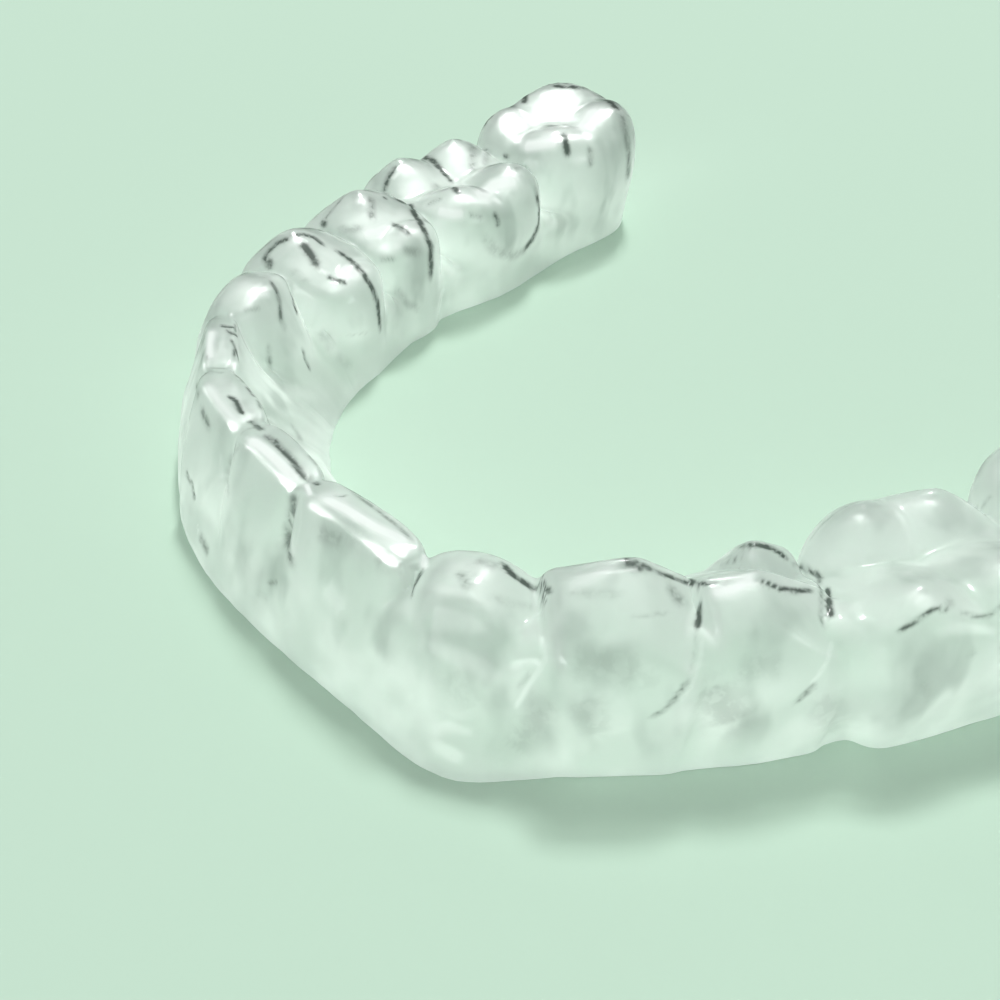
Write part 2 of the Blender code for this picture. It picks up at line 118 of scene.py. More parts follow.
TEETH = [
    tooth(-59.6, -47.2, -0.4, 10.4, "molar", 2.0,
          [(.5, 2.6, .7, .32, .36), (-.45, 2.4, 0, .32, .36), (.5, -3.4, .9, .34, .36),
           (-.45, -3.2, .5, .34, .36), (0, -.3, 1.5, .1, .1)], square=(2.6, 2.4), tip_radius=.5),
    tooth(-47.2, -36.0, -0.4, 9.0, "molar", 1.2,
          [(.42, 2.9, .1, .45, .5), (-.55, 2.5, .2, .45, .5), (.5, -3.4, .5, .42, .45),
           (-.5, -3.3, .5, .42, .45), (.92, -.3, 1.7, .2, .15), (-.92, -.3, 1.7, .2, .15)], crease=.35),
    tooth(-36.0, -29.0, -0.8, 9.2, "premolar", 1.1,
          [(-.05, .6, 0, .42, .5), (-.1, -3.4, 1.3, .35, .5), (-.85, -1, 2.0, .2, .15), (.85, -1, 2.0, .2, .15)],
          crease=.3),
    tooth(-29.0, -22.4, -1.2, 9.2, "premolar", 1.0,
          [(.05, .4, 0, .45, .52), (-.1, -3.6, 1.6, .35, .5), (-.85, -1.4, 2.2, .2, .15),
           (.85, -1.4, 2.2, .2, .15)], thin=0.35, crease=.3),
    tooth(-22.4, -15.9, -0.9, 8.8, "canine", 0.6, [(.1, .1, 0, .42, .25)], tip_radius=.6, thin=0.55, crease=.3),
    tooth(-15.9, -9.6, -0.75, 8.15, "incisor", 0.35, thin=0.3, lean=0.05, crease=.5),
    tooth(-9.6, -3.3, -0.05, 8.2, "incisor", 0.35, lean=0.08, crease=.5),
    tooth(-3.3, 3.0, 0.0, 8.25, "incisor", 0.35, lean=0.12, crease=.5),
    tooth(3.0, 10.7, 0.0, 8.3, "incisor", 0.35, lean=0.09, crease=.3),
    tooth(10.7, 16.7, -0.3, 8.0, "canine", 0.5, [(.05, -.3, 0, (.34, .72), .36)],
          tip_radius=.8, crease=.4),
    tooth(16.7, 23.3, -0.5, 9.4, "premolar", 0.7,
          [(-.21, -.5, .35, (.16, .60), (.45, 1.05)), (-.1, -3.2, 4.5, .5, .6), (.8, .2, 3.0, .3, .7),
           (-.8, .2, 2.5, .3, .7)], tip_radius=.15, turn=.05, ridge=.12, crease=.5, roof=True),
    tooth(23.3, 29.4, -0.3, 8.6, "premolar", 0.4,
          [(.18, .8, 0, (.08, .55), (.50, .85)), (-.25, -2.4, 1.1, (1.0, .5), (.6, 1.0)), (.85, .2, 2.4, .2, .7),
           (-.85, .2, 1.9, .3, .5)], thin=.7, turn=.05, ridge=.15, crease=.3, roof=True),
    tooth(29.4, 40.4, 0.0, 8.2, "molar", 1.2,
          [(.40, 2.9, .3, .45, .5), (-.5, 2.7, .3, .45, .5), (.25, -3.1, .3, (.75, .45), .65),
           (-.5, -3.1, .3, .42, .6), (.92, .6, 2.4, .3, .6), (-.92, -.3, 1.5, .2, .15)],
          square=(6.0, 1.8), crease=.3),
    tooth(40.4, 52.0, 0.0, 9.6, "molar", 1.9,
          [(.5, 2.6, .4, .36, .4), (-.45, 2.5, .1, .36, .4), (.5, -3.1, .3, .36, .4),
           (-.45, -3.0, .2, .36, .4), (0, -.3, 1.4, .1, .1)], square=(2.7, 2.5), tip_radius=.4, crease=.3),
]
CONTACTS = [t["start"] for t in TEETH] + [TEETH[-1]["end"]]
# height the gum reaches between the teeth at each contact, on the outer and the inner side
PAPILLA_OUT = [5.0, 5.5, 5.5, 5.5, 5.5, 5.2, 5.0, 5.0, 5.2, 6.4, 6.8, 7.2, 6.9, 6.0, 5.0]
PAPILLA_IN = [4.0, 4.3, 4.4, 4.4, 4.4, 4.6, 4.8, 4.8, 4.8, 4.6, 4.0, 3.8, 3.8, 4.2, 4.0]
MARGIN_OUT, MARGIN_IN = 3.1, 3.2     # height of the gum line at the middle of a tooth


# ------------------------------------------------------------ the arch curve
def arch_table(step=0.05):
    """Arc length, x, y and heading along the arch, from the heading knots."""
    s = np.arange(-66, 66 + step / 2, step)
    heading = np.sign(s) * np.interp(np.abs(s), HEADING_AT, HEADING)
    reach = int(2.4 / step)
    window = np.hanning(2 * reach + 1)
    heading = np.convolve(np.pad(heading, reach, mode="edge"), window / window.sum(), mode="valid")
    heading = np.radians(heading)
    x = np.concatenate([[0], np.cumsum((np.cos(heading[1:]) + np.cos(heading[:-1])) / 2 * step)])
    y = np.concatenate([[0], np.cumsum((np.sin(heading[1:]) + np.sin(heading[:-1])) / 2 * step)])
    middle = len(s) // 2
    return s, x - x[middle], y - y[middle], heading


ARCH = arch_table()


def arch_point(s):
    """Point on the arch and the unit tangent there."""
    at, x, y, heading = ARCH
    angle = np.interp(s, at, heading)
    return np.interp(s, at, x), np.interp(s, at, y), np.cos(angle), np.sin(angle)


def smooth_table(knots, values, n=241):
    """A section table: a smooth curve through its knots."""
    k, v = np.asarray(knots, float), np.asarray(values, float)
    slope = np.gradient(v, k)
    z = np.linspace(k[0], k[-1], n)
    i = np.clip(np.searchsorted(k, z, side="right") - 1, 0, len(k) - 2)
    h = k[i + 1] - k[i]
    t = (z - k[i]) / h
    out = ((2 * t**3 - 3 * t**2 + 1) * v[i] + (t**3 - 2 * t**2 + t) * h * slope[i]
           + (-2 * t**3 + 3 * t**2) * v[i + 1] + (t**3 - t**2) * h * slope[i + 1])
    return z, out


SECTION_TABLE = {k: [smooth_table(v[0], v[i]) for i in (1, 2, 3)] for k, v in SECTION.items()}


def face_table(side, s_step=0.5, z_step=0.25):
    """Reach of the crowns' outer (0) or inner (1) faces over arc length and height."""
    s = np.arange(-66, 66 + s_step / 2, s_step)
    z = np.arange(0, 12 + z_step / 2, z_step)
    middle = [(t["start"] + t["end"]) / 2 for t in TEETH]
    reach = []
    for t in TEETH:
        at, value = SECTION_TABLE[t["kind"]][side]
        r = np.interp(z * SECTION_TOP[t["kind"]] / t["height"], at, value)
        reach.append(r + t["shift"] if side == 0 else r - t["thin"] - t["shift"])
    reach = np.array(reach)
    return s[0], s_step, z_step, np.stack([np.interp(s, middle, reach[:, k]) for k in range(len(z))], 1)


FACES = [face_table(0), face_table(1)]


def face_reach(side, s, z):
    s0, s_step, z_step, table = FACES[side]
    u = np.clip((s - s0) / s_step, 0, table.shape[0] - 1.001)
    v = np.clip(z / z_step, 0, table.shape[1] - 1.001)
    i, j = u.astype(int), v.astype(int)
    u, v = u - i, v - j
    return ((table[i, j] * (1 - u) + table[i + 1, j] * u) * (1 - v)
            + (table[i, j + 1] * (1 - u) + table[i + 1, j + 1] * u) * v)


# ------------------------------------------------------------ the field
def smooth_max(a, b, k):
    h = np.maximum(k - np.abs(a - b), 0) / k
    return np.maximum(a, b) + h * h * k * 0.25


def smooth_min(a, b, k):
    return -smooth_max(-a, -b, k)


def slope(rate, away):
    if isinstance(rate, tuple):
        rate = np.where(away > 0, rate[0], rate[1])
    return rate * away


def crown(t, points, soft=1.0):
    """Signed distance, near enough, to one tooth's crown; soft scales its blends."""
    x, y, c, s = arch_point((t["start"] + t["end"]) / 2)
    dx = points[..., 0] - (x + s * t["shift"])
    dy = points[..., 1] - (y - c * t["shift"])
    z = points[..., 2]
    m = dx * c + dy * s + t["lean"] * (7.5 - z)      # along the arch
    b = dx * s - dy * c                              # outwards
    half = (t["end"] - t["start"]) / 2
    height = t["height"]
    zz = z * SECTION_TOP[t["kind"]] / height
    (z1, v1), (z2, v2), (z3, v3) = SECTION_TABLE[t["kind"]]
    out = np.interp(zz, z1, v1)
    inn = np.interp(zz, z2, v2) - t["thin"]
    wide = np.interp(zz, z3, v3) * half * 1.05
    middle, depth = (out - inn) / 2 + t["turn"] * m, (out + inn) / 2
    p = np.where(b > middle, t["square"][0], t["square"][1])
    u = np.maximum(np.abs(m) / wide, 1e-6)
    v = np.maximum(np.abs(b - middle) / depth, 1e-6)
    q = (u**p + v**p) ** (1 / p)
    grad = q ** (1 - p) * np.sqrt((u ** (p - 1) / wide) ** 2 + (v ** (p - 1) / depth) ** 2)
    side = (q - 1) / np.maximum(grad, 0.05)
    if t["kind"] == "incisor":
        top = height - 0.25 * (np.abs(m) / half) ** 4
    else:
        forward = m if t["start"] + t["end"] < 0 else -m
        top = None
        for along, across, drop, slope_m, slope_b in t["cusps"]:
            fm = slope(slope_m, forward - along * half)
            fb = slope(slope_b, b + t["shift"] - across)
            if t["roof"]:
                cone = (height - drop + 2 * t["tip"]
                        - np.sqrt(fm**2 + t["tip"] ** 2) - np.sqrt(fb**2 + t["tip"] ** 2))
            else:
                cone = height - drop + t["tip"] - np.sqrt(fm**2 + fb**2 + t["tip"] ** 2)
            top = cone if top is None else smooth_max(top, cone, t["ridge"])
    return smooth_max(side, (z - top) * 0.93, t["rounding"] * soft)


def gum(s, b, beyond, z):
    """Signed distance, near enough, to the gum band with its root bulges and papillae."""
    c = np.array(CONTACTS)
    i = np.clip(np.searchsorted(c, s, side="right") - 1, 0, len(TEETH) - 1)
    share = np.clip((s - c[i]) / (c[i + 1] - c[i]), 0, 1)
    bulge = np.sin(np.pi * share)
    lip = (np.exp(-((np.sign(c[i]) * (s - c[i]) + 0.7) / 0.8) ** 2)
           + np.exp(-((np.sign(c[i + 1]) * (s - c[i + 1]) + 0.7) / 0.8) ** 2))
    root = 0.26 * (bulge - 0.62) * np.clip(z / 1.5, 0, 1)
    follow = np.clip(z / 3.2, 0, 1)
    follow = follow * follow * (3 - 2 * follow)
    step = 0.09 + 0.26 * lip
    out = np.interp(s, GUM_OUT_AT, GUM_OUT) + root - 0.05 * z
    inn = np.interp(s, GUM_IN_AT, GUM_IN) + root - 0.10 * z
    out += (face_reach(0, s, z) - step - out) * follow
    inn += (face_reach(1, s, z) - step - 0.15 - inn) * follow
    middle, depth = (out - inn) / 2, (out + inn) / 2
    side = (np.sqrt(((b - middle) / depth) ** 2 + (np.maximum(beyond, 0) / depth) ** 2) - 1) * depth
    across = np.clip((b - middle) / depth, -1, 1)
    blend = np.clip(across * 0.9 + 0.5, 0, 1)
    blend = blend * blend * (3 - 2 * blend)
    arch = bulge ** 0.7
    wide = bulge ** 3
    top_out = np.interp(s, CONTACTS, PAPILLA_OUT) * (1 - wide) + MARGIN_OUT * wide
    top_in = np.interp(s, CONTACTS, PAPILLA_IN) * (1 - arch) + MARGIN_IN * arch
    top = top_in + (top_out - top_in) * blend
    return smooth_max(side, (z - top) * 0.9, 1.1)


def field(s, b, beyond, points, near, soft=1.0):
    crowns = None
    for i in near:
        f = crown(TEETH[i], points, soft)
        crowns = f if crowns is None else smooth_min(crowns, f, TEETH[i]["crease"] * soft)
    return smooth_min(gum(s, b, beyond, points[..., 2]), crowns, MARGIN * soft)


# ------------------------------------------------------------ the sweep
def planes(per_tooth, cap):
    """Arc length and tip angle of each plane, closer together at the contacts."""
    at = []
    for start, end in zip(CONTACTS[:-1], CONTACTS[1:]):
        n = max(4, int(round(per_tooth * (end - start) / 7.0)))
        k = np.arange(n) / n
        at += list(start + (end - start) * (0.55 * (1 - np.cos(np.pi * k)) / 2 + 0.45 * k))
    at = [s for s in at if SWEEP_FROM + 0.2 < s < SWEEP_TO - 0.2]
    return ([(SWEEP_FROM, a) for a in np.linspace(-90, 0, cap + 1)] + [(s, 0.0) for s in at]
            + [(SWEEP_TO, a) for a in np.linspace(0, 90, cap + 1)])


def plane_axes(rows):
    s = np.array([r[0] for r in rows])
    tip = np.radians([r[1] for r in rows])
    x, y, c, sn = arch_point(s)
    zero = np.zeros_like(x)
    foot = np.stack([x, y, zero], -1)
    outward = np.stack([sn, -c, zero], -1)
    along = np.stack([c, sn, zero], -1)
    up = np.stack([c * np.sin(tip), sn * np.sin(tip), np.cos(tip)], -1)
    return s, foot, outward, along, up


def on_rays(rows, angle, radius):
    s, foot, outward, along, up = plane_axes(rows)
    ray = np.cos(angle)[..., None] * outward[:, None, :] + np.sin(angle)[..., None] * up[:, None, :]
    return foot[:, None, :] + radius[..., None] * ray


def solve(rows, angle, level, steps=26, coarse=40):
    """Radius on every ray where the field last crosses a level; the inner face is the sharper one."""
    soft = 1.0 if level == 0 else SHARPER
    s, foot, outward, along, up = plane_axes(rows)
    radius = np.zeros(angle.shape)
    for i in range(0, len(rows), 16):
        sl = slice(i, min(i + 16, len(rows)))
        near = [k for k, t in enumerate(TEETH)
                if t["start"] - 7.5 < s[sl].max() and t["end"] + 7.5 > s[sl].min()]
        a = angle[sl]
        ray = np.cos(a)[..., None] * outward[sl][:, None, :] + np.sin(a)[..., None] * up[sl][:, None, :]
        base, tangent = foot[sl][:, None, :], along[sl][:, None, :]
        ss = np.broadcast_to(s[sl][:, None], a.shape)

        def value(r):
            offset = r[..., None] * ray
            return field(ss, r * np.cos(a), np.abs(np.sum(offset * tangent, -1)), base + offset, near, soft)

        radii = np.linspace(2.0, 12.5, coarse)
        last = np.zeros(a.shape, int)
        for j, r in enumerate(radii):
            last = np.where(value(np.full(a.shape, r)) < level, j, last)
        low, high = radii[last], radii[np.minimum(last + 1, coarse - 1)]
        for _ in range(steps):
            mid = (low + high) / 2
            inside = value(mid) < level
            low, high = np.where(inside, mid, low), np.where(inside, high, mid)
        radius[sl] = (low + high) / 2
    return radius


def spread_angles(rows, columns, fine=121):
    """Ray angles that space the points evenly along each section, closer where it bends."""
    angle = np.broadcast_to(np.linspace(0, np.pi, fine), (len(rows), fine)).copy()
    points = on_rays(rows, angle, solve(rows, angle, 0.0, steps=14))
    step = np.diff(points, axis=1)
    length = np.linalg.norm(step, axis=2)
    step = step / np.maximum(length[..., None], 1e-9)
    turn = np.arccos(np.clip(np.sum(step[:, 1:] * step[:, :-1], -1), -1, 1))
    weight = length.copy()
    weight[:, 1:] += 0.45 * turn
    weight[:, :-1] += 0.45 * turn
    for _ in range(2):
        w = np.pad(weight, 1, mode="edge")
        weight = (w[1:-1, 1:-1] * 4 + (w[:-2, 1:-1] + w[2:, 1:-1] + w[1:-1, :-2] + w[1:-1, 2:]) * 2
                  + w[:-2, :-2] + w[:-2, 2:] + w[2:, :-2] + w[2:, 2:]) / 16
    total = np.concatenate([np.zeros((len(rows), 1)), np.cumsum(weight, 1)], 1)
    total /= total[:, -1:]
    share = np.linspace(0, 1, columns)
    return np.stack([np.interp(share, total[i], angle[i]) for i in range(len(rows))])


def shell_mesh(per_tooth, cap, columns):
    """Vertices (mm) and faces of the closed sheet: outer face, inner face, trimmed edge."""
    rows = planes(per_tooth, cap)
    angle = spread_angles(rows, columns)
    tip = [r[1] for r in rows]
    upright = [i for i, a in enumerate(tip) if a == 0]
    first, last = upright[0], upright[-1]
    verts, tables = [], []
    for level in (0.0, -WALL):
        points = on_rays(rows, angle, solve(rows, angle, level))
        table = np.zeros(angle.shape, int)
        for i in range(len(rows)):
            for j in range(columns):
                if j in (0, columns - 1) and i != min(max(i, first), last):
                    continue
                table[i, j] = len(verts)
                x, y, z = points[i, j]
                flat = j in (0, columns - 1) or i in (0, len(rows) - 1)
                verts.append((x, y, 0.0 if flat else z))
        for j in (0, columns - 1):      # the end planes hinge on the last upright one
            table[:first, j] = table[first, j]
            table[last + 1:, j] = table[last, j]
        tables.append(table)
    faces = []

    def face(*ids):
        ids = [v for k, v in enumerate(ids) if v not in ids[:k]]
        if len(ids) > 2:
            faces.append(ids)

    outer, inner = tables
    for i in range(len(rows) - 1):
        for j in range(columns - 1):
            face(outer[i, j], outer[i + 1, j], outer[i + 1, j + 1], outer[i, j + 1])
            face(inner[i, j], inner[i, j + 1], inner[i + 1, j + 1], inner[i + 1, j])

    def rim(table):
        return (list(table[first:last + 1, 0]) + list(table[-1, 1:-1])
                + list(table[first:last + 1, -1][::-1]) + list(table[0, 1:-1][::-1]))

    a, b = rim(outer), rim(inner)
    for k in range(len(a)):
        n = (k + 1) % len(a)
        face(a[k], b[k], b[n], a[n])
    return verts, faces


# ------------------------------------------------------------ painted shade and highlight lines
# Painted lines: dark ones are painted shade, standing in for the dark refraction lines along creases, ridges and
# outlines; pale ones are painted highlights. Each has a half width, depth of tone (positive darker, negative paler)
# and the points it runs through, in millimetres.
PAINTED_LINES = [
    (0.17, 1.00, [(19.61, 9.78, 8.15), (19.84, 9.6, 8.05), (20.01, 9.49, 7.89), (20.17, 9.38, 7.72), (20.33, 9.28, 7.54), (20.49, 9.15, 7.34), (20.75, 8.92, 7.25), (20.91, 8.72, 7.18), (21.08, 8.52, 7.12)]),
    (0.12, 0.30, [(21.08, 8.52, 7.12), (21.28, 8.28, 7), (21.45, 8.06, 6.87), (21.64, 7.89, 6.71), (21.82, 7.73, 6.54), (21.96, 7.51, 6.38), (22.1, 7.29, 6.21), (22.21, 7.09, 6.01)]),
    (0.16, 0.60, [(22.28, 6.99, 5.83), (22.28, 6.85, 5.66), (22.27, 6.72, 5.47), (22.23, 6.54, 5.19), (22.18, 6.37, 4.89), (22.11, 6.2, 4.63), (22.04, 6.03, 4.36), (21.87, 5.78, 4.17), (21.71, 5.53, 3.97)]),
    (0.12, -0.60, [(21.57, 8.37, 6.98), (21.78, 8.17, 6.76), (21.97, 7.99, 6.5), (22.08, 7.82, 6.28), (22.2, 7.63, 6.09), (22.33, 7.45, 5.89), (22.41, 7.22, 5.69), (22.45, 7.05, 5.42), (22.42, 6.86, 5.15), (22.38, 6.69, 4.86)]),
    (0.17, 0.55, [(20.71, 16.92, 5.68), (21.15, 16.46, 5.8), (22.25, 15.07, 6.87), (22.65, 14.66, 6.96), (22.96, 14.37, 6.94), (23.22, 14.08, 6.88), (23.45, 13.83, 6.78), (23.73, 13.64, 6.68), (24, 13.47, 6.58)]),
    (0.17, 1.00, [(21.89, 16.1, 6.09), (22.29, 15.71, 6.16), (23.11, 14.7, 6.87), (23.49, 14.34, 6.88), (23.82, 14.06, 6.82)]),
    (0.13, -0.70, [(24.6, 13.35, 6.29), (24.75, 13.11, 6.14), (24.88, 12.9, 5.96), (24.98, 12.73, 5.72), (24.99, 12.52, 5.44), (24.98, 12.32, 5.14), (24.95, 12.1, 4.84), (24.91, 11.9, 4.51)]),
    (0.17, 0.65, [(25.01, 12.16, 4.75), (24.95, 11.96, 4.5), (24.89, 11.76, 4.26), (24.83, 11.57, 4.04), (24.76, 11.39, 3.81)]),
    (0.17, 1.00, [(14.57, 4.6, 6.99), (14.8, 4.72, 7.19), (15.63, 4.36, 8.05), (15.94, 4.17, 8.07), (16.31, 4.16, 8.15)]),
    (0.15, 0.90, [(15.63, 4.24, 7.52), (15.61, 4.16, 7.25), (16.35, 3.86, 7.71)]),
    (0.18, -0.60, [(17.99, 2.71, 6.43), (17.96, 2.6, 6.17), (17.94, 2.48, 5.92), (17.89, 2.29, 5.58), (17.82, 2.1, 5.22), (17.73, 1.93, 4.85), (17.68, 1.79, 4.52), (17.62, 1.65, 4.19), (17.56, 1.52, 3.85), (17.5, 1.38, 3.51)]),
    (0.20, 0.30, [(17.38, 1.64, 4.62), (17.49, 1.83, 4.96), (17.59, 2.03, 5.29)]),
    (0.16, 0.90, [(11.14, 0.86, 7.52), (11.25, 0.67, 7.45), (11.34, 0.48, 7.36), (11.39, 0.33, 7.22), (11.39, 0.22, 7.02), (11.43, 0.11, 6.8), (11.5, -0.02, 6.62)]),
    (0.17, -1.00, [(10.68, 1.36, 7.76), (10.86, 1.15, 7.74), (10.96, 0.99, 7.64)]),
    (0.21, 0.95, [(13.16, 3.93, 7.77), (13.42, 3.93, 7.69), (13.66, 3.94, 7.6), (13.85, 4.03, 7.49), (14.04, 4.13, 7.37), (14.22, 4.29, 7.23), (14.39, 4.44, 7.08), (14.7, 4.59, 7.03), (15.63, 4.32, 7.88)]),
    (0.50, 0.45, [(12.46, 2.83, 7.97), (12.67, 2.96, 7.98), (12.87, 3.11, 7.97), (13.09, 3.27, 7.95), (13.26, 3.47, 7.86)]),
    (0.28, 0.52, [(12.72, 1.82, 7.93), (13.02, 1.75, 7.92), (13.3, 1.68, 7.91), (13.74, 1.59, 7.83)]),
    (0.36, 0.75, [(17.27, 7.43, 9.01), (17.52, 7.46, 9.01), (17.73, 7.52, 8.97), (17.94, 7.63, 8.94), (18.11, 7.78, 8.86)]),
    (0.22, 0.70, [(17.66, 7.77, 9.03), (17.89, 7.92, 8.95), (18.1, 8.09, 8.83), (18.22, 8.24, 8.72), (18.35, 8.38, 8.61)]),
    (0.15, 0.85, [(18.35, 8.38, 8.61), (18.48, 8.63, 8.46), (18.6, 8.88, 8.3), (18.74, 9.14, 8.13), (18.88, 9.4, 7.97), (19.02, 9.67, 7.8), (19.17, 9.83, 7.76), (19.53, 9.77, 8)]),
    (0.13, 0.35, [(19.34, 6, 8.02), (19.52, 6.2, 8.02), (19.69, 6.4, 8.02), (19.83, 6.62, 7.98), (19.92, 7, 7.9), (19.98, 7.42, 7.77), (20.02, 7.86, 7.63)]),
    (0.16, 0.30, [(16.89, 4.72, 8.3), (17.13, 4.9, 8.3), (17.37, 5.09, 8.3), (17.61, 5.27, 8.29), (17.81, 5.48, 8.31), (18.01, 5.69, 8.33), (18.2, 5.9, 8.35), (18.35, 6.21, 8.41), (18.49, 6.51, 8.46)]),
    (0.39, 0.52, [(19.08, 8.67, 8.06), (19.33, 8.66, 7.89), (19.58, 8.65, 7.73), (19.82, 8.85, 7.5)]),
    (0.39, -0.60, [(16.8, 4.8, 8.36), (16.9, 5.09, 8.43), (16.99, 5.39, 8.51), (17.09, 5.68, 8.59), (17.15, 6.01, 8.68), (17.21, 6.33, 8.77), (17.27, 6.67, 8.86), (17.32, 7, 8.95)]),
    (0.17, 1.00, [(17.58, 14.55, 6.52), (18.39, 14.17, 7.29), (18.71, 14.33, 7.43), (18.89, 14.64, 7.4), (19.03, 14.85, 7.31), (19.15, 15.09, 7.19), (19.3, 15.23, 7.07), (19.45, 15.38, 6.94), (19.73, 15.58, 6.72)]),
    (0.16, 0.80, [(20.06, 15.73, 6.46), (19.4, 17.16, 5.24), (19.99, 16.99, 5.49), (20.49, 16.95, 5.62), (21.06, 16.74, 5.8)]),
    (0.13, 0.60, [(17.92, 13.25, 6.29), (18.12, 13.36, 6.5), (18.31, 13.46, 6.71), (18.66, 13.63, 6.92)]),
    (0.16, 0.90, [(21.41, 11.75, 8.49), (21.56, 11.87, 8.43), (21.69, 12.01, 8.36), (21.86, 12.23, 8.22), (22.02, 12.46, 8.06), (22.13, 12.8, 7.89), (22.24, 13.14, 7.71), (22.29, 13.62, 7.52), (22.33, 14.11, 7.33), (22.41, 14.38, 7.19)]),
    (0.13, 0.80, [(19.83, 9.66, 8.26), (20.11, 9.66, 8.44), (20.3, 9.78, 8.49), (20.5, 10.09, 8.51)]),
    (0.45, -0.80, [(20.67, 9.54, 8.33), (20.83, 9.79, 8.35), (20.98, 10.05, 8.35), (21.13, 10.31, 8.35), (21.15, 10.64, 8.41), (21.16, 10.97, 8.47), (21.17, 11.31, 8.52), (21.18, 11.66, 8.57)]),
    (0.16, 1.00, [(-13.62, 3.24, 8.13), (-13.4, 3.43, 8.14), (-13.19, 3.62, 8.14)]),
    (0.15, 0.90, [(-12.89, 3.2, 8.15), (-12.5, 3.3, 8.14), (-12.31, 3.49, 8.02)]),
    (0.13, 0.75, [(-11.9, 2.95, 8.15), (-11.12, 2.77, 8.09), (-10.56, 2.62, 7.92), (-10.22, 2.52, 7.55)]),
    (0.13, 0.45, [(-11.16, 1.04, 8.07), (-10.61, 0.78, 8.03), (-10.15, 0.55, 7.93), (-9.65, 0.87, 8.03), (-9.28, 1.23, 8.06), (-9.48, 1.83, 7.73)]),
    (0.39, -0.80, [(-13.48, 2.51, 8.15), (-12.73, 2.07, 8.15), (-12.01, 1.64, 8.14), (-11.24, 1.3, 8.13), (-10.55, 1, 8.09)]),
    (0.13, 0.50, [(-14.69, 2.31, 7.16), (-14.38, 2.14, 7.2)]),
    (0.15, 0.45, [(-9.84, 0.4, 7.88), (-9.29, 0.6, 8.04), (-8.92, 0.88, 8.09)]),
    (0.31, 0.60, [(-10.91, 0.06, 6.47), (-10.91, 0.06, 6.47)]),
    (0.31, 0.60, [(-8.74, -0.78, 7.31), (-8.74, -0.78, 7.31)]),
    (0.34, 0.60, [(-7.79, -1.09, 7.04), (-7.22, -1.2, 6.96), (-6.67, -1.31, 6.87), (-6.12, -1.42, 6.78)]),
    (0.17, 0.95, [(-6.41, 0.02, 8.2), (-5.73, 0.11, 8.2), (-5.29, -0, 8.2), (-4.87, -0.11, 8.18), (-4.37, -0.15, 8.15)]),
    (0.19, 0.75, [(-3.79, -0.17, 8.08), (-3.47, -0.09, 8.07), (-3.08, -0.03, 8.1), (-2.37, -0.04, 8.18)]),
    (0.39, -0.70, [(-8.2, -0.35, 8.14), (-7.32, -0.48, 8.15), (-6.49, -0.6, 8.15), (-5.8, -0.65, 8.16), (-5.14, -0.69, 8.17), (-4.51, -0.72, 8.15), (-4.09, -0.65, 8.11), (-3.7, -0.57, 8.06)]),
    (0.13, 0.40, [(-2.96, -0.96, 8), (-3.07, -0.61, 8.08), (-3, -0.29, 8.1)]),
    (0.21, 0.85, [(-1.76, -0.21, 8.23), (-1.45, -0.13, 8.24), (-1.14, -0.05, 8.25), (-0.68, -0.09, 8.25), (-0.23, -0.12, 8.25), (0.3, -0.13, 8.25), (0.82, -0.14, 8.25), (1.41, -0.21, 8.24), (1.95, -0.28, 8.21), (2.38, -0.28, 8.16), (2.78, -0.27, 8.09)]),
    (0.40, -1.00, [(-2.16, -0.95, 8.18), (-1.5, -0.9, 8.23), (-0.9, -0.84, 8.24), (-0.31, -0.77, 8.25), (0.22, -0.78, 8.25), (0.74, -0.78, 8.25), (1.25, -0.78, 8.24), (1.74, -0.78, 8.22), (2.2, -0.76, 8.18), (2.61, -0.72, 8.11)]),
    (0.18, -1.00, [(3.07, -0.51, 8.07), (3.56, -0.67, 8.14), (4.03, -0.83, 8.19)]),
    (0.16, 0.80, [(3.14, -0.07, 8.1), (3.36, -0.05, 8.12)]),
    (0.36, 0.62, [(2.81, -1.15, 7.75), (2.91, -1.21, 7.38), (2.99, -1.26, 7), (2.85, -1.3, 6.53), (2.79, -1.39, 6.11), (2.76, -1.48, 5.73), (2.68, -1.57, 5.25), (2.94, -1.8, 5.06), (3.7, -2.15, 5.26), (4.04, -2.32, 5.1), (4.54, -2.41, 5.01)]),
    (0.22, -0.40, [(3.62, -1.1, 7.92), (3.84, -1.28, 7.63), (4.01, -1.43, 7.31), (4.17, -1.58, 6.97), (4.23, -1.74, 6.59), (4.29, -1.91, 6.2), (4.35, -2.08, 5.8)]),
    (0.25, 0.36, [(-2.47, -1.22, 7.92), (-2.63, -1.38, 7.53), (-2.87, -1.51, 7.09), (-3.64, -1.43, 6.25), (-3.77, -1.5, 5.79), (-3.86, -1.59, 5.34), (-3.04, -2.04, 5.59), (-2.62, -2.26, 5.51), (-2.38, -2.41, 5.29), (-2.17, -2.55, 5.05)]),
    (0.22, -0.40, [(-4.36, -1.71, 6.28), (-4.25, -1.8, 5.9), (-4.2, -1.87, 5.48), (-4.13, -1.95, 5.07), (-3.92, -2.08, 4.77)]),
    (0.13, 0.60, [(4.96, 0.13, 8.28), (5.13, 0.44, 8.29)]),
    (0.38, -1.00, [(4.64, -0.5, 8.26), (5.05, -0.39, 8.28), (5.44, -0.29, 8.29), (5.83, -0.18, 8.3), (6.21, -0.07, 8.3), (6.68, 0.02, 8.3), (7.15, 0.1, 8.3), (7.62, 0.19, 8.3), (8.08, 0.27, 8.3), (8.47, 0.4, 8.29), (8.84, 0.54, 8.28), (9.21, 0.68, 8.27), (9.57, 0.82, 8.24), (9.91, 0.97, 8.2)]),
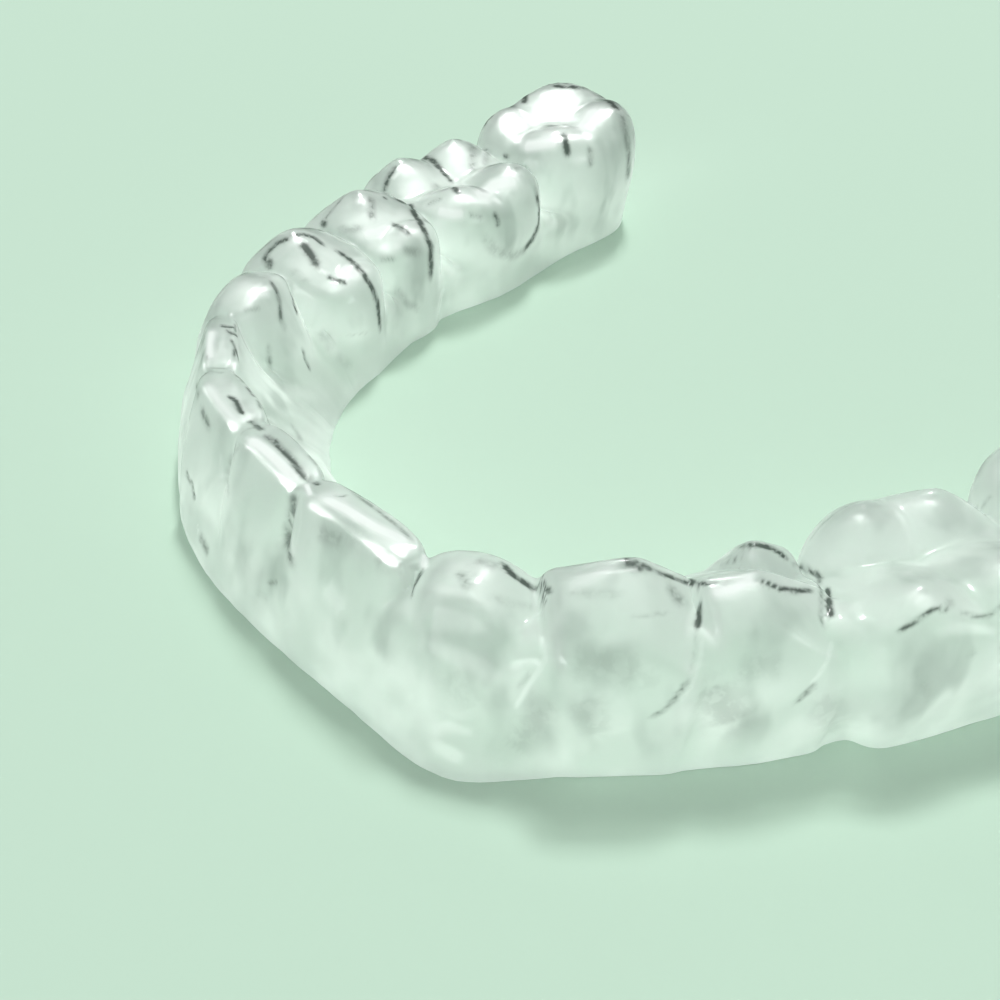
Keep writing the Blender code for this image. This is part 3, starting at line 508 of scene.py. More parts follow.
    (0.15, 0.55, [(5.05, 0.89, 8.27), (5.51, 0.93, 8.29), (5.95, 0.97, 8.3), (6.38, 1.02, 8.3), (6.8, 1.06, 8.3), (7.29, 1.09, 8.3), (7.79, 1.12, 8.3), (8.27, 1.16, 8.29), (8.74, 1.19, 8.28), (9.21, 1.21, 8.26), (9.65, 1.23, 8.23), (10.07, 1.27, 8.16)]),
    (0.67, 0.39, [(5.51, -1.36, 7.28), (5.89, -1.32, 7.28), (6.27, -1.27, 7.28), (6.74, -1.12, 7.45), (7.2, -0.98, 7.63)]),
    (0.67, 0.36, [(9.43, -0.61, 7.71), (9.83, -0.46, 7.83), (10.2, -0.29, 7.93), (10.44, -0.11, 8), (10.63, 0.1, 8.03)]),
    (0.20, -1.00, [(10.73, 1.22, 7.83), (10.92, 1.13, 7.7), (11.13, 1.02, 7.59)]),
    (0.20, 0.70, [(-7.66, -2.6, 3.46), (-7.17, -2.71, 3.29)]),
    (0.20, 0.80, [(-6.77, -2.74, 3.37), (-6.47, -2.86, 3.09), (-6.13, -2.98, 2.84)]),
    (0.13, -0.80, [(-5.03, -3.46, 1.7), (-4.82, -3.57, 1.46)]),
    (0.34, 0.59, [(-4.33, -3.63, 1.37), (-3.89, -3.67, 1.29), (-3.47, -3.71, 1.19)]),
    (0.18, 0.45, [(2.62, -3.01, 2.75), (3.45, -2.97, 3.33)]),
    (0.34, 0.29, [(2.11, -3.4, 1.97), (2.63, -3.33, 1.98)]),
    (0.19, 0.65, [(-16.4, 9.29, 6.54), (-16.21, 9.28, 6.26), (-16.02, 9.28, 5.98)]),
    (0.17, 0.70, [(-14.35, 8.62, 4.4), (-14.14, 8.58, 4.11), (-13.95, 8.54, 3.81), (-13.8, 8.6, 3.46), (-13.65, 8.65, 3.11)]),
    (0.25, 0.45, [(-13.87, 6.11, 5.75), (-13.74, 6.05, 5.4), (-13.63, 5.99, 5.04), (-13.51, 5.89, 4.6), (-13.24, 5.73, 4.27)]),
    (0.17, 0.60, [(-13.6, 5.86, 4.92), (-13.52, 5.92, 4.66)]),
    (0.34, 0.39, [(-15.57, 7.91, 7.47), (-15.28, 7.83, 7.03), (-14.99, 7.74, 6.58), (-14.8, 7.73, 6.24), (-14.61, 7.71, 5.9)]),
    (0.39, 0.33, [(-15.3, 10.91, 4.07), (-15.13, 10.88, 3.75), (-14.97, 10.85, 3.43)]),
    (0.50, 0.26, [(-14.7, 11.34, 2.56), (-14.63, 11.63, 2.22), (-14.58, 11.95, 1.84)]),
    (0.28, 0.36, [(-9.48, 5.03, 2.58), (-9.03, 5.01, 2.39), (-8.59, 5, 2.2)]),
    (0.84, -0.55, [(7.11, -2.08, 5.21), (7.54, -2.07, 5.09), (7.96, -2.07, 4.96), (8.28, -2.06, 4.84), (8.59, -2.06, 4.72)]),
    (0.95, 0.30, [(18.66, 2.33, 4.54), (18.57, 2.18, 4.13), (18.47, 2.03, 3.72), (18.37, 1.89, 3.29), (18.25, 1.76, 2.84), (18.12, 1.59, 2.45), (18.03, 1.41, 2.1), (17.97, 1.19, 1.79), (17.92, 0.97, 1.51)]),
    (1.14, 0.30, [(19.09, 3.02, 6.64), (19.35, 3.29, 6.65), (19.6, 3.58, 6.64), (19.84, 3.88, 6.63), (20.07, 4.18, 6.6), (20.28, 4.4, 6.54), (20.48, 4.64, 6.47), (20.68, 4.87, 6.4), (20.87, 5.11, 6.32), (21.07, 5.34, 6.25)]),
    (1.05, 0.29, [(19.93, 3.27, 5.02), (20.06, 3.35, 4.65), (20.19, 3.43, 4.26), (20.31, 3.53, 3.86), (20.42, 3.63, 3.43), (20.52, 3.75, 2.98)]),
    (1.33, 0.38, [(22.65, 8.15, 5.25), (22.81, 8.22, 4.88), (22.96, 8.3, 4.5), (23.11, 8.39, 4.11), (23.27, 8.52, 3.77), (23.42, 8.67, 3.42), (23.54, 8.85, 3.02)]),
    (0.95, 0.29, [(23.13, 9.1, 5.99), (23.28, 9.42, 5.95), (23.44, 9.75, 5.91), (23.6, 10.07, 5.88), (23.76, 10.37, 5.86), (23.92, 10.66, 5.83), (24.07, 10.96, 5.81)]),
    (1.14, 0.27, [(25.33, 12.53, 4.16), (25.44, 12.66, 3.66), (25.52, 12.84, 3.08), (25.51, 13.16, 2.35), (25.3, 13.8, 1.22), (25.32, 14.09, 0.51)]),
    (1.14, 0.23, [(14.77, -0.39, 4.58), (15.07, -0.32, 4.33), (15.35, -0.25, 4.07), (15.63, -0.17, 3.8), (15.91, -0.09, 3.54), (16.19, -0.02, 3.27)]),
    (0.43, 0.31, [(12.46, 2.71, 7.98), (12.9, 2.53, 7.99), (13.31, 2.38, 7.97), (13.68, 2.25, 7.92), (14.01, 2.15, 7.82)]),
    (0.35, 0.31, [(14.55, 2.18, 7.6), (14.75, 2.43, 7.49), (14.92, 2.7, 7.35), (15.07, 2.98, 7.19), (15.2, 3.29, 7.04), (15.32, 3.6, 6.88), (15.45, 3.9, 6.74)]),
    (0.35, 0.31, [(17.02, 4.77, 8.29), (17.27, 5.02, 8.3), (17.52, 5.27, 8.32), (17.77, 5.51, 8.34), (18, 5.77, 8.36), (18.24, 6.03, 8.38), (18.47, 6.29, 8.39)]),
    (0.86, 0.23, [(21.08, 5.47, 6.46), (21.22, 5.5, 6.15), (21.35, 5.54, 5.84), (21.48, 5.59, 5.51)]),
    (0.86, 0.27, [(7.28, -0.72, 8.11), (7.79, -0.68, 8.07), (8.29, -0.63, 8.04), (8.78, -0.58, 8)]),
    (0.43, 0.95, [(-30.23, 41.05, 10.28), (-29.55, 41.19, 10.3), (-29.12, 41.62, 10.17), (-28.91, 42.24, 10.02), (-28.65, 42.8, 9.89)]),
    (0.56, 0.95, [(-28.62, 43.89, 9.35), (-28.33, 44.38, 9.05)]),
    (0.56, 0.95, [(-26.3, 43.35, 9.56), (-25.2, 42.76, 9.72), (-24.54, 42.63, 9.61)]),
    (0.54, 0.60, [(-24.15, 42.74, 9.37), (-23.57, 42.54, 9.04), (-23.16, 42.5, 8.63), (-22.8, 42.36, 8.22), (-22.53, 42.31, 7.77), (-22.33, 42.28, 7.18), (-22.26, 42.37, 6.51), (-22.2, 42.35, 5.87), (-22.22, 42.41, 5.17), (-22.34, 42.56, 4.41)]),
    (0.32, 0.85, [(-30.62, 38.51, 9.64), (-29.65, 37.63, 9.64)]),
    (0.32, 0.80, [(-29.74, 35.22, 9.41), (-29.86, 34.88, 9.23), (-29.64, 34.32, 9.09), (-29.83, 34.08, 8.76), (-29.35, 33.54, 8.64)]),
    (0.35, 0.85, [(-22.97, 36.39, 9.19), (-22.46, 36.13, 8.77), (-22.1, 35.99, 8.28)]),
    (0.38, 0.52, [(-21.87, 38.01, 8.09), (-21.61, 37.88, 7.67), (-21.41, 37.81, 7.21)]),
    (0.62, -1.00, [(-24.45, 33.69, 8.5), (-23.92, 34.07, 8.66), (-23.48, 34.5, 8.79), (-23.13, 35, 8.89), (-22.85, 35.57, 8.95)]),
    (0.73, -1.00, [(-24.95, 41.02, 9.73), (-24.4, 40.15, 9.53), (-23.97, 39.4, 9.28), (-23.81, 38.87, 9.13), (-23.28, 38.03, 9.15)]),
    (0.32, 0.85, [(-28.94, 27.45, 7.72), (-28.21, 27.32, 7.91), (-27.74, 27.44, 7.95), (-26.83, 27.31, 7.8), (-26.03, 27.26, 7.6), (-25.35, 27.21, 7.41), (-24.73, 27.21, 7.2)]),
    (0.32, 0.85, [(-21.49, 25.25, 8.43), (-20.76, 24.97, 8.39)]),
    (0.47, 0.50, [(-24.31, 25.48, 7.46), (-23.41, 25.12, 7.65)]),
    (0.27, 0.55, [(-21.6, 23.08, 7.67), (-21.38, 23.4, 7.85), (-21.19, 23.74, 8.01)]),
    (0.43, 0.52, [(-27.8, 31.26, 8.22), (-26.67, 30.45, 8.12), (-25.93, 29.92, 7.84), (-25.48, 29.61, 7.64), (-24.98, 29.25, 7.46)]),
    (0.40, 0.45, [(-27.17, 32.21, 7.55), (-26.09, 31.37, 7.66), (-25.51, 30.89, 7.53)]),
    (0.24, 0.70, [(-25.67, 32.75, 7.64), (-25.41, 32.82, 7.67)]),
    (0.20, 0.50, [(-21.88, 30.99, 8.32), (-22.04, 31.56, 8.19)]),
    (0.20, 0.50, [(-23.64, 33.23, 7.32), (-23.64, 33.23, 7.32)]),
    (0.43, 0.80, [(-20.75, 32.05, 6.7), (-20.52, 32.01, 6.15), (-20.49, 32.13, 5.48), (-20.45, 32.12, 4.85), (-20.61, 32.26, 4.1), (-20.17, 31.6, 3.78), (-20.01, 31.17, 3.29), (-19.85, 30.67, 3.06), (-19.76, 30.22, 2.77)]),
    (0.30, 0.75, [(-19.15, 27.13, 6.65), (-18.95, 27.22, 6.08)]),
    (0.27, 0.52, [(-19.27, 25.08, 7.16), (-19.16, 25.41, 7.01), (-19.07, 25.76, 6.84)]),
    (0.54, 0.36, [(-18.75, 25.75, 5.72), (-18.69, 26.03, 5.24), (-18.7, 26.35, 4.73), (-18.75, 26.71, 4.18), (-18.89, 27.38, 3.79), (-19.12, 28.13, 3.34), (-19.41, 28.93, 2.84), (-19.57, 29.56, 2.82), (-19.76, 30.22, 2.77), (-20.02, 30.93, 2.69)]),
    (0.78, -1.00, [(-19.96, 26.17, 7.86), (-20.41, 26.96, 7.84), (-21.32, 28.11, 7.58), (-21.46, 28.7, 7.73), (-21.22, 29.18, 7.83), (-21.06, 29.72, 7.89), (-21.01, 30.34, 7.89)]),
    (0.56, -0.90, [(-20.66, 23.13, 7.48), (-20.17, 23.5, 7.46), (-19.78, 23.92, 7.38), (-19.6, 24.26, 7.36), (-19.45, 24.62, 7.32)]),
    (0.28, -0.70, [(-27.84, 32.57, 7.91), (-26.93, 31.74, 7.81), (-25.99, 30.9, 7.73), (-25.32, 30.24, 7.54)]),
    (0.23, 0.85, [(-26.75, 23.69, 8.65), (-26.53, 23.18, 8.43), (-26.33, 22.69, 8.2), (-25.93, 22.25, 7.93), (-25.62, 21.86, 7.61)]),
    (0.23, 0.85, [(-22.74, 20.22, 8.52), (-22.74, 20.22, 8.52)]),
    (0.34, 0.88, [(-22.96, 21.02, 8.23), (-22.64, 21.26, 8.08), (-22.37, 21.53, 7.91), (-23.07, 22.41, 7.22), (-21.3, 21.61, 7.6), (-20.52, 21.44, 7.47), (-19.3, 20.92, 7.56), (-18.78, 20.84, 7.27), (-18.34, 20.81, 6.84), (-18.06, 20.89, 6.32), (-17.86, 20.73, 5.88), (-17.74, 20.63, 5.39), (-17.67, 20.56, 4.87), (-17.62, 20.51, 4.34)]),
    (0.38, 0.60, [(-22.59, 19, 8.89), (-21.96, 18.63, 8.67), (-21.41, 18.3, 8.43), (-20.88, 17.98, 8.17)]),
    (0.26, 0.85, [(-20.19, 19.23, 7.79), (-19.68, 19.24, 7.78), (-19.18, 19.24, 7.76), (-18.85, 19.36, 7.65), (-18.6, 19.52, 7.5)]),
    (0.47, 0.45, [(-21.24, 15.88, 7.92), (-20.92, 16.27, 7.95), (-20.66, 16.71, 7.94)]),
    (0.56, -0.90, [(-20.09, 16.77, 7.7), (-19.99, 17.25, 7.71), (-19.91, 17.74, 7.7), (-19.96, 18.31, 7.73), (-20.02, 18.9, 7.74)]),
    (0.28, -0.70, [(-26.06, 22.99, 8.22), (-26.23, 23.58, 8.43), (-26.47, 24.22, 8.61)]),
    (0.30, 0.90, [(-21.43, 14.32, 8.17), (-22.8, 15.3, 7.99)]),
    (0.16, 0.55, [(-22.9, 15.36, 8.04), (-23.08, 15.87, 8.29), (-23.32, 16.4, 8.51), (-23.54, 16.99, 8.72), (-23.86, 17.62, 8.9)]),
    (0.47, 0.45, [(-17.8, 18.74, 6.83), (-17.73, 19.13, 6.69), (-17.71, 19.55, 6.53)]),
    (0.24, 0.45, [(-18.16, 17, 6.59), (-17.96, 17.31, 6.58), (-17.79, 17.63, 6.55)]),
    (0.40, 0.36, [(-17.51, 17.54, 4.46), (-17.35, 17.85, 3.92), (-17.21, 18.17, 3.35), (-17.22, 18.71, 2.86), (-17.35, 19.34, 2.28)]),
    (0.24, 0.80, [(-19.84, 9.2, 8.1), (-19.98, 9.44, 8.27), (-20.17, 9.7, 8.4), (-20.23, 10.1, 8.58), (-20.29, 10.5, 8.76), (-20.14, 10.88, 8.9), (-20.05, 11.29, 9.01)]),
    (0.23, 0.80, [(-20.19, 11.68, 9.11), (-20.09, 12.02, 9.06), (-20.07, 12.4, 8.96), (-19.96, 12.68, 8.83), (-19.85, 12.96, 8.7), (-19.44, 13.11, 8.5), (-19.04, 13.27, 8.3)]),
    (0.34, 0.80, [(-19.44, 9.37, 8.12), (-19.24, 9.29, 7.99)]),
    (0.38, 0.90, [(-19.39, 11.8, 8.78), (-18.95, 11.83, 8.56), (-18.5, 11.86, 8.34), (-18.03, 11.82, 8.1), (-17.56, 11.78, 7.87)]),
    (0.23, 0.95, [(-16.62, 12.18, 7.36), (-16.26, 12.47, 7.23), (-15.88, 12.74, 7.11)]),
    (0.20, -1.00, [(-17.25, 11.78, 7.71), (-16.9, 12.16, 7.51)]),
    (0.50, -0.90, [(-17.07, 13.28, 7.53), (-16.6, 13.46, 7.47), (-16.27, 13.73, 7.33), (-16.07, 14.07, 7.12)]),
    (0.50, -0.50, [(-19.4, 9.88, 8.37), (-19.45, 10.42, 8.57), (-19.54, 10.98, 8.76)]),
    (0.47, 0.33, [(-17.68, 10.25, 7.8), (-17.28, 10.4, 7.63), (-16.9, 10.56, 7.45)]),
    (0.27, 0.90, [(-18.57, 13.79, 7.95), (-18.21, 14.07, 7.72), (-17.8, 14.32, 7.52), (-16.99, 14.19, 7.55), (-16.55, 14.25, 7.38), (-16.24, 14.39, 7.15), (-15.87, 14.44, 6.79), (-15.63, 14.57, 6.36), (-15.48, 14.7, 5.79), (-15.51, 14.93, 5.11), (-15.47, 14.92, 4.63), (-15.46, 14.93, 4.12), (-15.48, 14.97, 3.59), (-15.55, 15.02, 3.03)]),
    (0.26, 0.70, [(-16.44, 7.92, 8.44), (-16.15, 7.93, 8.28), (-15.98, 8.01, 8.04), (-15.8, 8.01, 7.74), (-15.65, 8.03, 7.43), (-15.35, 7.87, 7.1), (-15.07, 7.71, 6.77), (-14.79, 7.55, 6.44)]),
    (0.20, 0.85, [(-17.02, 9.5, 6.96), (-16.72, 9.46, 6.61), (-16.41, 9.41, 6.28), (-16.13, 9.38, 5.92)]),
    (0.20, 0.40, [(-14.64, 5.27, 8.09), (-14.64, 5.71, 8.01), (-14.74, 6.21, 7.87)]),
    (0.28, -0.80, [(-15.29, 6.39, 8.47), (-15.33, 6.76, 8.34), (-15.45, 7.17, 8.16)]),
    (0.39, 0.39, [(-15.54, 10.65, 4.09), (-15.26, 10.77, 3.88), (-15.04, 10.92, 3.62)]),
    (0.16, 0.30, [(-14.93, 12.1, 3.88), (-14.82, 12.58, 3.84), (-14.81, 13.11, 3.73), (-14.94, 13.73, 3.53)]),
    (0.15, 0.63, [(-27.39, 32.48, 7.72), (-28.57, 32.23, 7.22), (-29.64, 32.01, 6.37), (-30.41, 31.85, 5.41), (-31.03, 31.72, 4.34)]),
    (0.20, 0.28, [(-31.02, 31.72, 4.43), (-31.01, 31.72, 3.55), (-30.9, 31.75, 2.74), (-30.77, 31.77, 2.04)]),
    (0.15, 0.85, [(-25.06, 21.44, 7.38), (-26.06, 21.17, 7.08), (-26.91, 20.94, 6.25), (-27.41, 20.8, 5.25), (-27.73, 20.71, 4.16)]),
    (0.20, 0.38, [(-27.73, 20.71, 4.26), (-27.74, 20.71, 3.36), (-27.7, 20.72, 2.58), (-27.67, 20.72, 1.92)]),
    (0.15, 0.62, [(-22.83, 14.65, 7.43), (-23.59, 14.35, 7.04), (-24.04, 14.17, 5.78), (-24.5, 13.99, 5.13), (-24.76, 13.89, 4.22)]),
    (0.20, 0.28, [(-24.75, 13.89, 4.31), (-24.8, 13.87, 3.36), (-24.82, 13.87, 2.59), (-24.89, 13.84, 1.92)]),
    (0.15, 0.87, [(-19.43, 8.83, 7.56), (-20.26, 8.4, 7.2), (-20.71, 8.16, 5.77), (-21.21, 7.9, 5.1), (-21.5, 7.75, 4.25)]),
    (0.20, 0.39, [(-21.47, 7.77, 4.42), (-21.6, 7.7, 3.45), (-21.66, 7.67, 2.64), (-21.74, 7.63, 1.95)]),
    (0.15, 0.72, [(-15.32, 3.59, 7.89), (-15.7, 3.18, 6.54), (-15.96, 2.89, 5.22), (-16.26, 2.57, 4.91), (-16.53, 2.27, 4.46)]),
    (0.20, 0.32, [(-16.45, 2.36, 4.63), (-16.73, 2.05, 3.72), (-16.86, 1.92, 2.83), (-16.9, 1.86, 2.02)]),
    (0.15, 0.90, [(24.58, 26.12, 7.29), (26.51, 25.67, 7.05), (27.78, 25.37, 6.17), (29.31, 25.01, 5.78), (29.92, 24.86, 4.15)]),
    (0.20, 0.41, [(29.92, 24.87, 4.25), (29.93, 24.86, 3.48), (29.81, 24.89, 2.73), (29.53, 24.96, 1.94)]),
    (0.15, 0.60, [(22.84, 26.53, 7.28), (22.26, 26.67, 5.95), (22.19, 26.68, 4.29), (21.35, 26.88, 4.2), (20.18, 27.16, 4.12)]),
    (0.20, 0.27, [(22.19, 26.68, 4.29), (20.81, 27.01, 4.2), (19.72, 27.27, 3.44), (19.92, 27.22, 1.93)]),
    (0.15, 0.71, [(15.22, 4.84, 8.23), (14.44, 5.6, 7.25), (13.8, 6.22, 6.37), (13.25, 6.75, 5.56), (12.78, 7.2, 4.67)]),
    (0.20, 0.32, [(12.84, 7.15, 4.81), (12.68, 7.31, 3.72), (12.52, 7.46, 2.84), (12.27, 7.7, 2.12)]),
    (0.15, 0.77, [(19.63, 9.75, 8.15), (18.56, 10.28, 7.37), (17.69, 10.7, 6.5), (17.01, 11.04, 5.65), (16.57, 11.26, 4.65)]),
    (0.20, 0.35, [(16.59, 11.25, 4.74), (16.06, 11.51, 3.81), (15.39, 11.84, 3.12), (15.19, 11.94, 2.11)]),
    (0.15, 0.68, [(22.85, 15.08, 6.74), (21.42, 15.63, 6.47), (20.08, 16.15, 6.17), (19.69, 16.3, 3.93), (18.46, 16.78, 3.8)]),
    (0.20, 0.31, [(19.77, 16.27, 3.99), (18.61, 16.72, 3.8), (17.63, 17.1, 3.09), (17.45, 17.17, 1.74)]),
    (0.15, 0.46, [(-9.35, 1.66, 7.84), (-9.32, 1.78, 7.27), (-9.29, 1.9, 6.3), (-9.27, 1.97, 5.84), (-9.24, 2.07, 5.28)]),
    (0.20, 0.21, [(-9.24, 2.07, 5.28), (-8.94, 3.22, 4.15), (-8.72, 4.05, 3.04), (-8.45, 5.08, 2.05)]),
    (0.15, 0.44, [(-3.26, 0.63, 7.87), (-3.25, 0.75, 7.06), (-3.25, 0.83, 6.31), (-3.24, 0.92, 5.81), (-3.23, 1.04, 5.28)]),
    (0.20, 0.20, [(-3.24, 1, 5.43), (-3.16, 2.19, 4.18), (-3.1, 3.07, 3.04), (-3.03, 3.99, 2.06)]),
    (0.15, 0.42, [(2.97, 0.52, 7.83), (2.97, 0.57, 7.21), (2.97, 0.6, 6.46), (2.96, 0.64, 6.03), (2.96, 0.71, 5.4)]),
    (0.20, 0.19, [(2.96, 0.71, 5.4), (2.87, 2.08, 4.26), (2.82, 3.01, 3.07), (2.76, 3.93, 2.03)]),
    (0.15, 0.55, [(10.54, 1.43, 7.84), (10.41, 1.82, 7.11), (10.27, 2.21, 6.4), (10.18, 2.48, 5.87), (10.09, 2.75, 5.3)]),
    (0.20, 0.25, [(10.11, 2.71, 5.39), (9.77, 3.7, 4.18), (9.51, 4.48, 3.05), (9.25, 5.26, 2.02)]),
    (0.14, 0.76, [(26.23, 15.6, 6.82), (26.37, 16.23, 7.07), (26.47, 16.87, 7.28), (26.54, 17.53, 7.44), (26.86, 18.09, 7.26)]),
    (0.15, 0.55, [(27.15, 18.67, 7.05), (27.49, 19.24, 6.76), (27.75, 19.82, 6.55), (27.83, 20.46, 6.74), (27.83, 21.12, 7.03)]),
    (0.17, 0.66, [(27.89, 21.76, 7.23), (27.98, 22.38, 7.33), (28.19, 22.96, 7.23), (28.44, 23.54, 7.01)]),
    (0.15, 0.40, [(18.86, 18.24, 5.91), (18.79, 18.86, 6.35), (18.92, 19.41, 6.82), (19.09, 19.95, 7.21), (19.34, 20.46, 7.49)]),
    (0.14, 0.37, [(19.27, 21.07, 7.31), (19.15, 21.69, 7.02), (19.13, 22.28, 6.76), (19.3, 22.82, 6.74), (19.72, 23.29, 7.02)]),
    (0.13, 0.51, [(29.85, 30.09, 8.17), (29.9, 30.68, 8.27), (29.97, 31.26, 8.43), (30.04, 31.84, 8.58), (30, 32.44, 8.79)]),
    (0.18, 0.45, [(29.95, 33.05, 8.96), (29.96, 33.64, 9.01), (30.03, 34.21, 8.9), (29.99, 34.82, 8.78)]),
    (0.13, 0.47, [(21.69, 28.92, 8.64), (21.65, 29.51, 8.73), (21.65, 30.09, 8.74), (21.59, 30.69, 8.6), (21.54, 31.28, 8.43)]),
    (0.19, 0.40, [(21.6, 31.85, 8.3), (21.65, 32.42, 8.2), (21.82, 32.96, 8.32), (21.99, 33.51, 8.46), (22.27, 34.04, 8.66)]),
    (0.16, 0.59, [(18.53, 14.88, 7.26), (18.69, 15.16, 7.15), (18.78, 15.48, 6.97), (18.95, 15.76, 6.84)]),
    (0.18, 0.48, [(15.78, 5.49, 8.58), (16.01, 5.77, 8.67), (16.22, 6.05, 8.74), (16.35, 6.4, 8.73), (16.55, 6.69, 8.79)]),
    (0.16, 0.34, [(16.75, 6.99, 8.85), (16.95, 7.29, 8.89), (17.14, 7.59, 8.92), (17.33, 7.9, 8.94), (17.51, 8.2, 8.89)]),
    (0.14, 0.40, [(17.71, 8.51, 8.71), (17.9, 8.81, 8.5), (18.08, 9.12, 8.28), (18.27, 9.43, 8.06)]),
    (0.18, 0.56, [(-31, 39.08, 9.58), (-30.94, 38.44, 9.42), (-30.88, 37.8, 9.24), (-30.82, 37.17, 9.06), (-30.67, 36.55, 9)]),
    (0.18, 0.68, [(-30.36, 35.97, 9.16), (-30.13, 35.36, 9.2), (-29.87, 34.77, 9.17), (-29.58, 34.18, 9.04)]),
    (0.15, 0.40, [(-27.87, 24.27, 8.59), (-27.79, 23.64, 8.48), (-27.75, 22.99, 8.21), (-27.69, 22.35, 7.91)]),
    (0.18, 0.40, [(-25.83, 20.16, 7.83), (-25.66, 19.79, 7.97), (-25.4, 19.45, 8.16), (-25.21, 19.09, 8.29), (-25.02, 18.74, 8.41)]),
    (0.15, 0.46, [(-24.83, 18.38, 8.51), (-24.71, 18, 8.52), (-24.58, 17.63, 8.51), (-24.53, 17.22, 8.41), (-24.47, 16.82, 8.29)]),
    (0.15, 0.59, [(-24.41, 16.42, 8.17), (-24.34, 16.02, 8.04), (-24.34, 15.6, 7.84), (-24.25, 15.21, 7.7)]),
    (0.17, 0.68, [(-23.14, 13.42, 7.76), (-22.94, 13.12, 7.9), (-22.67, 12.85, 8.1), (-22.46, 12.55, 8.24), (-22.25, 12.25, 8.37)]),
    (0.18, 0.49, [(-21.38, 10.31, 8.38), (-21.3, 9.95, 8.25), (-21.21, 9.6, 8.12), (-21.12, 9.25, 7.98)]),
    (0.15, 0.55, [(-13.65, 4.06, 8.03), (-13.35, 3.95, 8.04), (-13.1, 3.78, 8.09), (-12.8, 3.69, 8.06), (-12.55, 3.54, 8.08)]),
    (0.13, 0.66, [(-10.96, 2.73, 8.06), (-10.71, 2.53, 8.09), (-10.43, 2.42, 8.04), (-10.17, 2.23, 8.04)]),
    (0.16, 0.65, [(-8.41, 1.46, 8.04), (-8.1, 1.41, 8.11), (-7.76, 1.44, 8.09), (-7.45, 1.39, 8.12), (-7.13, 1.35, 8.13)]),
    (0.16, 0.64, [(-6.81, 1.3, 8.14), (-6.49, 1.26, 8.14), (-6.17, 1.22, 8.14), (-5.84, 1.18, 8.14), (-5.52, 1.15, 8.13)]),
    (0.16, 0.51, [(-5.2, 1.11, 8.12), (-4.87, 1.08, 8.1), (-4.56, 0.95, 8.13), (-4.23, 0.92, 8.08)]),
    (0.14, 0.53, [(0.99, 0.84, 8.13), (1.32, 0.76, 8.18), (1.64, 0.76, 8.14), (1.97, 0.68, 8.16)]),
    (0.15, 0.50, [(4.14, 0.82, 8.16), (4.54, 0.95, 8.16), (4.95, 0.99, 8.21), (5.36, 1.04, 8.24), (5.75, 1.18, 8.18)]),
    (0.31, 0.43, [(26.68, 18.37, 7.41), (25.34, 19.12, 6.4), (28.25, 18.61, 5.37)]),
    (0.27, 0.31, [(28.55, 21.37, 6.41), (28.84, 20.76, 5.48), (28.9, 20.21, 4.58)]),
    (0.51, 0.22, [(27.45, 15.86, 5.2), (27.74, 16.22, 4.41), (27.95, 16.61, 3.56)]),
    (0.48, 0.25, [(29.41, 23.09, 5.58), (29.63, 22.69, 4.43), (29.62, 22.35, 3.21)]),
    (0.31, 0.43, [(29.72, 29.31, 8.24), (30.69, 29.52, 6.88), (31.12, 29.84, 5.63)]),
    (0.34, 0.31, [(31.27, 32.5, 6.99), (31.5, 32.04, 5.82), (31.61, 31.6, 4.63)]),
    (0.54, 0.22, [(31.39, 30.61, 4.97), (31.49, 30.92, 4.01), (31.49, 31.25, 3.04)]),
    (0.34, 0.43, [(-31.78, 37.54, 8), (-32.1, 37.07, 6.53), (-32.21, 36.64, 4.95)]),
    (0.34, 0.28, [(-31.18, 34.57, 6.62), (-31.49, 34.84, 5.51), (-31.71, 35.13, 4.43)]),
    (0.34, 0.31, [(-32.58, 40.47, 6.46), (-32.74, 40.2, 5.22), (-32.75, 39.95, 4)]),
    (0.31, 0.43, [(-29.62, 28.19, 7.38), (-30.03, 27.68, 6.21), (-30.2, 27.22, 5.02)]),
    (0.34, 0.31, [(-29.26, 24.6, 6.44), (-29.63, 24.93, 5.23), (-29.85, 25.3, 4.01)]),
    (0.31, 0.34, [(-25.8, 17.99, 7.23), (-26.17, 17.51, 5.89), (-26.32, 17.1, 4.56)]),
    (0.31, 0.34, [(-22.91, 11.27, 7.01), (-23.46, 11.4, 5.7), (-23.81, 11.61, 4.43)]),
    (0.34, 0.31, [(-18.94, 5.58, 6.62), (-19.28, 4.91, 5.34), (-19.45, 4.35, 3.97)]),
    (0.31, 0.34, [(18.58, 21.76, 6.47), (18.1, 22.21, 5.54), (18, 22.55, 4.5)]),
    (0.31, 0.34, [(20.75, 32.65, 7.03), (20.37, 32.4, 5.7), (20.3, 32.1, 4.48)]),
    (0.31, 0.31, [(15.46, 8.45, 6.98), (14.37, 9.39, 5.5), (13.53, 10.13, 4.01)]),
    (0.31, 0.31, [(17.97, 13.67, 6.6), (16.87, 13.9, 5.3), (16.33, 13.89, 4.01)]),
    (0.51, 0.22, [(0, 1.36, 6.42), (0.31, 1.96, 5.02), (0.6, 2.83, 3.61)]),
    (0.51, 0.22, [(-6.21, 1.83, 6.34), (-6.44, 2.45, 5), (-6.61, 3.42, 3.59)]),
    (0.51, 0.22, [(6.6, 1.82, 6.44), (6.81, 2.55, 4.87), (6.96, 3.54, 3.42)]),
]


# ------------------------------------------------------------ the sheet at full detail
def ripple(points, wavelength, count, seed):
    """Smooth unevenness between about -1 and 1: a sum of waves in fixed directions."""
    rng = np.random.RandomState(seed)
    total = np.zeros(len(points))
    for _ in range(count):
        d = rng.normal(size=3)
        d *= 2 * np.pi / (wavelength * rng.uniform(0.75, 1.5)) / np.linalg.norm(d)
        total += np.sin(points @ d + rng.uniform(0, 2 * np.pi))
    return total / math.sqrt(count / 2) / 2


